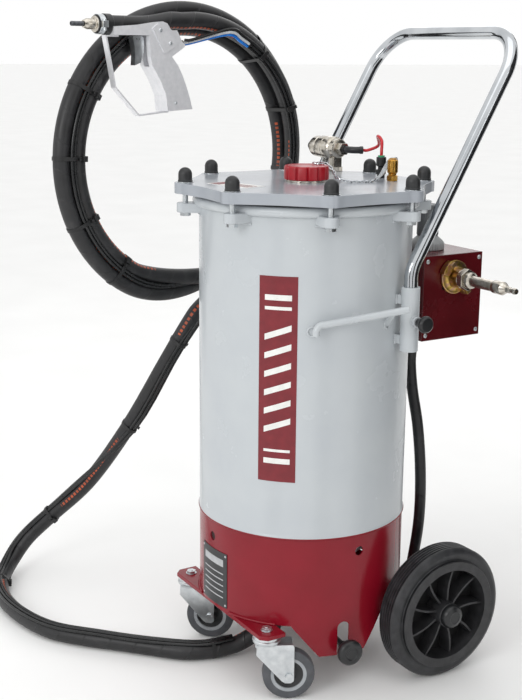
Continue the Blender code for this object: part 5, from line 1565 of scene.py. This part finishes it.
# %% [markdown]
# ## Floor and light
# A plain pale floor and soft, even studio light let the finishes speak. The large lights hang above and
# to both sides, so the enamel and chrome have wide bright shapes to reflect.

# %% Floor
floor_material = surface("pale studio floor", ((0.3, "F4F4F3"), (0.7, "F8F8F7")), 0.6, 400, 60, 5, 0.01)
floor_shape = bmesh.new()
brick((-90, -90, -0.05), (90, 90, -0.0005), floor_shape)
floor = solid("floor", floor_shape, floor_material)
print("floor ready")

# %% Light
world = bpy.data.worlds.new("studio")
bpy.context.scene.world = world
world.use_nodes = True
world.node_tree.nodes["Background"].inputs["Color"].default_value = linear("FFFFFF")
world.node_tree.nodes["Background"].inputs["Strength"].default_value = 1.0
LIGHTS = {
    "overhead": ((0.4, -0.3, 3.2), 2.4, 12),
    "camera_left": ((1.2, -3.0, 1.9), 1.2, 24),
    "camera_right": ((3.0, 1.2, 1.7), 1.0, 5),
    "behind": ((-2.0, 2.2, 2.4), 1.8, 8),
}
for name, (spot, size, power) in LIGHTS.items():
    data = bpy.data.lights.new(name, "AREA")
    data.size = size
    data.energy = power
    lamp = bpy.data.objects.new(name, data)
    lamp.location = spot
    lamp.rotation_euler = (Vector((0, 0, 0.6)) - Vector(spot)).to_track_quat("-Z", "Y").to_euler()
    bpy.context.scene.collection.objects.link(lamp)
bpy.context.scene.view_settings.view_transform = "Standard"
print("lights:", ", ".join(LIGHTS))

# %% [markdown]
# Chrome needs something dark to reflect, or it looks like white paint. Tall dark cloths stand round the
# machine, out of view. One more stands nearer, on the right, and keeps the sky's light off that side.

# %% Dark cloths
cloth_material = surface("dark studio cloth", ((0.3, "17181A"), (0.7, "1E1F21")), 0.9, 300, 60, 4, 0.1)
cloths = bmesh.new()
for degrees, distance, width in (
    (-62, 3.2, 0.8), (-12, 3.4, 0.9), (38, 3.0, 0.7), (112, 3.2, 0.8), (190, 3.4, 0.8),
):
    a = math.radians(degrees)
    way = Vector((math.cos(a), math.sin(a), 0))
    stand = Matrix.Translation(way * distance) @ Matrix.Rotation(a, 4, "Z")
    brick((-0.01, -width / 2, 0.05), (0.01, width / 2, 2.6), cloths, stand)
near_cloth = bmesh.new()
near_turn, near_distance, near_half = math.radians(52), 1.25, 0.75
near_at = Vector((math.cos(near_turn), math.sin(near_turn), 0)) * near_distance
brick(
    (-0.01, -near_half, 0.25), (0.01, near_half, 1.9), near_cloth,
    Matrix.Translation(near_at) @ Matrix.Rotation(near_turn, 4, "Z"),
)
for name, mesh, blocks_sky in (("dark_cloths", cloths, False), ("near_dark_cloth", near_cloth, True)):
    hung = solid(name, mesh, cloth_material)
    hung.visible_camera = False
    hung.visible_shadow = False
    hung.visible_diffuse = blocks_sky
print("dark cloths hung")
